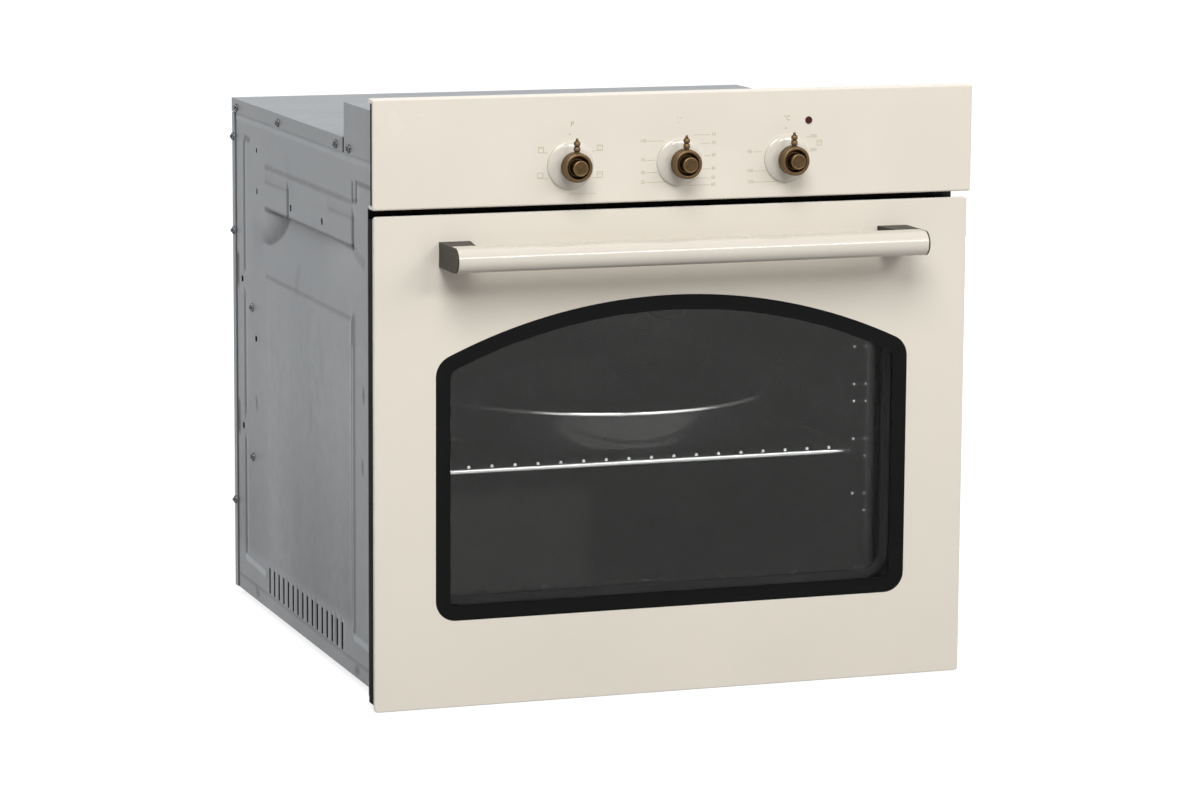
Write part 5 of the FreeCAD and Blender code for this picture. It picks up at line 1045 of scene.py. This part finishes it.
class OVEN_OT_case_screws(OvenStep):
    """Turn the case screws with their domed heads and cross slots"""

    bl_idname = "oven.case_screws"
    bl_label = "Case screws"

    # Millimetres: height of the head, radii of the tip and of the shank, and length of the tip
    head, tip, shank, taper = 2.5, 1.2, 1.7, 1.0
    # Outline as shares of the head's height and radius, from the rim to the flat round the slot
    dome = ((0.0, 1.0), (0.22, 1.0), (0.5, 0.94), (0.74, 0.82), (0.92, 0.64), (1.0, 0.45))
    # Radius of the cross slot over a sixth of a quarter turn each, as shares of the head's radius, then its
    # depth as a share of the head's height and the size of its floor as a share of its mouth's
    cross = (0.38, 0.36, 0.14, 0.13, 0.14, 0.36)
    slot_depth, slot_floor = 0.5, 0.8

    def islands(self, node):
        """Boxes of the separate solids of a node, always in the same order."""
        builder = bmesh.new()
        builder.from_mesh(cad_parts[node].data)
        left = dict.fromkeys(builder.verts)
        boxes = []
        while left:
            found, edge = set(), [left.popitem()[0]]
            while edge:
                vertex = edge.pop()
                found.add(vertex)
                for link in vertex.link_edges:
                    other = link.other_vert(vertex)
                    if other in left:
                        del left[other]
                        edge.append(other)
            spans = list(zip(*(vertex.co for vertex in found)))
            boxes.append([Vector([pick(span) for span in spans]) for pick in (min, max)])
        builder.free()
        return boxes

    def screw(self, builder, low, high):
        """Add a screw in place of a solid that points away from the middle of the oven."""
        side = 1 if low.x > 0 else -1
        inner, outer = sorted((abs(low.x), abs(high.x)))
        middle = (low + high) / 2
        radius = (high.z - low.z) / 2
        tall = self.head * MM
        seat = outer - tall
        steps = len(self.cross) * 4

        def ring(away, sizes):
            angles = [2 * math.pi * step / steps for step in range(steps)]
            return [
                builder.verts.new((side * away, middle.y + r * math.cos(a), middle.z + r * math.sin(a)))
                for a, r in zip(angles, sizes)
            ]

        shaft = ((inner, self.tip), (inner + self.taper * MM, self.shank), (seat, self.shank))
        loops = [ring(away, [size * MM] * steps) for away, size in shaft]
        loops += [ring(seat + tall * along, [radius * share] * steps) for along, share in self.dome]
        slot = [radius * share for share in self.cross * 4]
        floor = [size * self.slot_floor for size in slot]
        loops += [ring(outer, slot), ring(outer - tall * self.slot_depth, floor)]
        for first, second in zip(loops, loops[1:]):
            bridge(builder, first, second)
        builder.faces.new(loops[0])
        builder.faces.new(loops[-1])

    def execute(self, context):
        for node in ("cover_screws", "side_screws", "rear_screws"):
            builder = bmesh.new()
            for low, high in self.islands(node):
                self.screw(builder, low, high)
            mesh = mesh_of(builder)
            made = piece(f"{node}_domed", mesh, "oven_body", ("screw_steel",), 30.0)
            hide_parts(node)
        return {"FINISHED"}


class OVEN_OT_stage(OvenStep):
    """Set up the pale floor, the soft studio light and the camera"""

    bl_idname = "oven.stage"
    bl_label = "Studio"

    soft_light, soft_strength = (1.0, 0.96, 0.90, 1.0), 0.25
    # Floor: half its width, and its glow at two distances from the middle, in metres
    floor_half = 14.0
    floor_glow = {"From Min": 0.6, "From Max": 2.2, "To Min": 0.82, "To Max": 1.0}
    # Lamps: place, point looked at, width and height in metres, watts, and whether it leaves a highlight
    middle, left_side, right_side = (0.0, 0.0, 0.28), (-0.28, 0.0, 0.45), (0.28, 0.0, 0.45)
    lamps = {
        "key": ((-1.0, -3.4, 3.4), middle, (2.2, 2.2), 138.0, True),
        "fill": ((2.8, -3.0, 2.6), middle, (2.2, 2.2), 28.0, True),
        "strip": ((1.3, -3.9, 2.25), middle, (1.7, 0.55), 34.0, True),
        "side": ((-1.5, 1.0, 1.7), left_side, (1.0, 1.0), 12.0, True),
        "right": ((2.0, 0.9, 1.7), right_side, (1.2, 1.2), 16.0, True),
        "back": ((1.3, 3.0, 0.3), middle, (1.4, 1.4), 26.0, False),
        "top": ((-0.4, 0.4, 3.0), middle, (2.4, 2.4), 12.0, True),
    }
    # Camera: focal length and film in millimetres, place in metres, and heading, dip and roll in degrees
    focal_length, film_width = 127.7, 36.0
    stand = (-1.3753, -4.0129, 0.9237)
    heading, dip, roll = -19.31, 9.335, 0.366

    def seen(self, tree):
        """Whether a ray shows the background: camera, glossy and transmission rays do."""
        path = tree.nodes.new("ShaderNodeLightPath").outputs
        rays = {0: path["Is Camera Ray"], 1: path["Is Glossy Ray"]}
        either = add(tree, "Math", "Value", rays, operation="MAXIMUM")
        return add(tree, "Math", "Value", {0: either, 1: path["Is Transmission Ray"]}, operation="MAXIMUM")

    def light_world(self, scene):
        """Soft even light, with a white background."""
        world = bpy.data.worlds.new("studio")
        world.use_nodes = True
        scene.world = world
        tree = world.node_tree
        soft = tree.nodes["Background"]
        feed(tree, soft, {"Color": self.soft_light, "Strength": self.soft_strength})
        white = add(tree, "Background", "Background", {"Color": WHITE, "Strength": 1.0})
        sockets = {"Fac": self.seen(tree), 1: soft.outputs["Background"], 2: white}
        feed(tree, tree.nodes["World Output"], {"Surface": add(tree, "MixShader", "Shader", sockets)})

    def lay_floor(self, scene):
        """Pale floor that keeps the oven's shadow and runs out into white."""
        builder = bmesh.new()
        bmesh.ops.create_grid(builder, x_segments=8, y_segments=8, size=self.floor_half)
        floor = bpy.data.objects.new("studio_floor", mesh_of(builder))
        floor.location = (0.0, 0.0, FLOOR_LEVEL)
        made, tree, surface = shader_of(
            "studio_floor", scene.oven_finishes.floor, 0.0, 0.9, Specular_IOR_Level=0.0, Emission_Color=WHITE
        )
        place = add(tree, "TexCoord", "Object")
        reach = add(tree, "VectorMath", "Value", {"Vector": place}, operation="LENGTH")
        sockets = {"Value": reach, **self.floor_glow}
        lift = add(tree, "MapRange", "Result", sockets, interpolation_type="SMOOTHSTEP")
        glow = add(tree, "Math", "Value", {0: self.seen(tree), 1: lift}, operation="MULTIPLY")
        feed(tree, surface, {"Emission Strength": glow})
        floor.data.materials.append(made)
        scene.collection.objects.link(floor)

    def hang_lamp(self, scene, name, place, aim, size, power, mirrored):
        """Soft lamp, so wide and so tall, that looks at a point; an unmirrored one leaves no highlight."""
        data = bpy.data.lights.new(name, "AREA")
        data.shape = "RECTANGLE"
        data.size, data.size_y = size
        data.energy = power
        holder = bpy.data.objects.new(name, data)
        holder.location = place
        holder.visible_glossy = mirrored
        holder.rotation_euler = (Vector(aim) - Vector(place)).to_track_quat("-Z", "Y").to_euler()
        scene.collection.objects.link(holder)

    def set_camera(self, scene):
        """Camera at the picture's viewing angle."""
        lens = bpy.data.cameras.new("camera")
        lens.sensor_width = self.film_width
        lens.lens = self.focal_length
        lens.clip_end = 100.0
        camera = bpy.data.objects.new("camera", lens)
        turned = Matrix.Rotation(math.radians(self.heading), 4, "Z")
        tilted = Matrix.Rotation(math.radians(90 - self.dip), 4, "X")
        rolled = Matrix.Rotation(math.radians(self.roll), 4, "Z")
        camera.matrix_world = Matrix.Translation(self.stand) @ turned @ tilted @ rolled
        scene.collection.objects.link(camera)
        scene.camera = camera

    def execute(self, context):
        scene = context.scene
        scene.view_settings.view_transform = "Standard"
        self.light_world(scene)
        self.lay_floor(scene)
        for name, settings in self.lamps.items():
            self.hang_lamp(scene, name, *settings)
        self.set_camera(scene)
        return {"FINISHED"}


STEPS = (
    OVEN_OT_finish_nodes,
    OVEN_OT_door_glass,
    OVEN_OT_knobs,
    OVEN_OT_bezels,
    OVEN_OT_panel_print,
    OVEN_OT_round_tray,
    OVEN_OT_runner_ends,
    OVEN_OT_side_panels,
    OVEN_OT_case_screws,
    OVEN_OT_stage,
)


class OVEN_PT_sidebar(bpy.types.Panel):
    """Steps, sizes and colours of the oven"""

    bl_label = "Built-in oven"
    bl_idname = "OVEN_PT_sidebar"
    bl_space_type = "VIEW_3D"
    bl_region_type = "UI"
    bl_category = "Oven"

    def draw(self, context):
        layout = self.layout
        for step in STEPS:
            layout.operator(step.bl_idname)
        for group in (context.scene.oven_sizes, context.scene.oven_finishes):
            box = layout.box()
            for name in group.__annotations__:
                box.prop(group, name)


CLASSES = (OvenSizes, OvenFinishes, *STEPS, OVEN_PT_sidebar)


def register():
    """Add the classes and the settings."""
    for each in CLASSES:
        bpy.utils.register_class(each)
    bpy.types.Scene.oven_sizes = bpy.props.PointerProperty(type=OvenSizes)
    bpy.types.Scene.oven_finishes = bpy.props.PointerProperty(type=OvenFinishes)


def unregister():
    """Take the settings and the classes away."""
    del bpy.types.Scene.oven_finishes
    del bpy.types.Scene.oven_sizes
    for each in reversed(CLASSES):
        bpy.utils.unregister_class(each)


def main():
    """Dress the oven."""
    register()
    for step in STEPS:
        group, name = step.bl_idname.split(".")
        getattr(getattr(bpy.ops, group), name)()


if __name__ == "__main__":
    main()
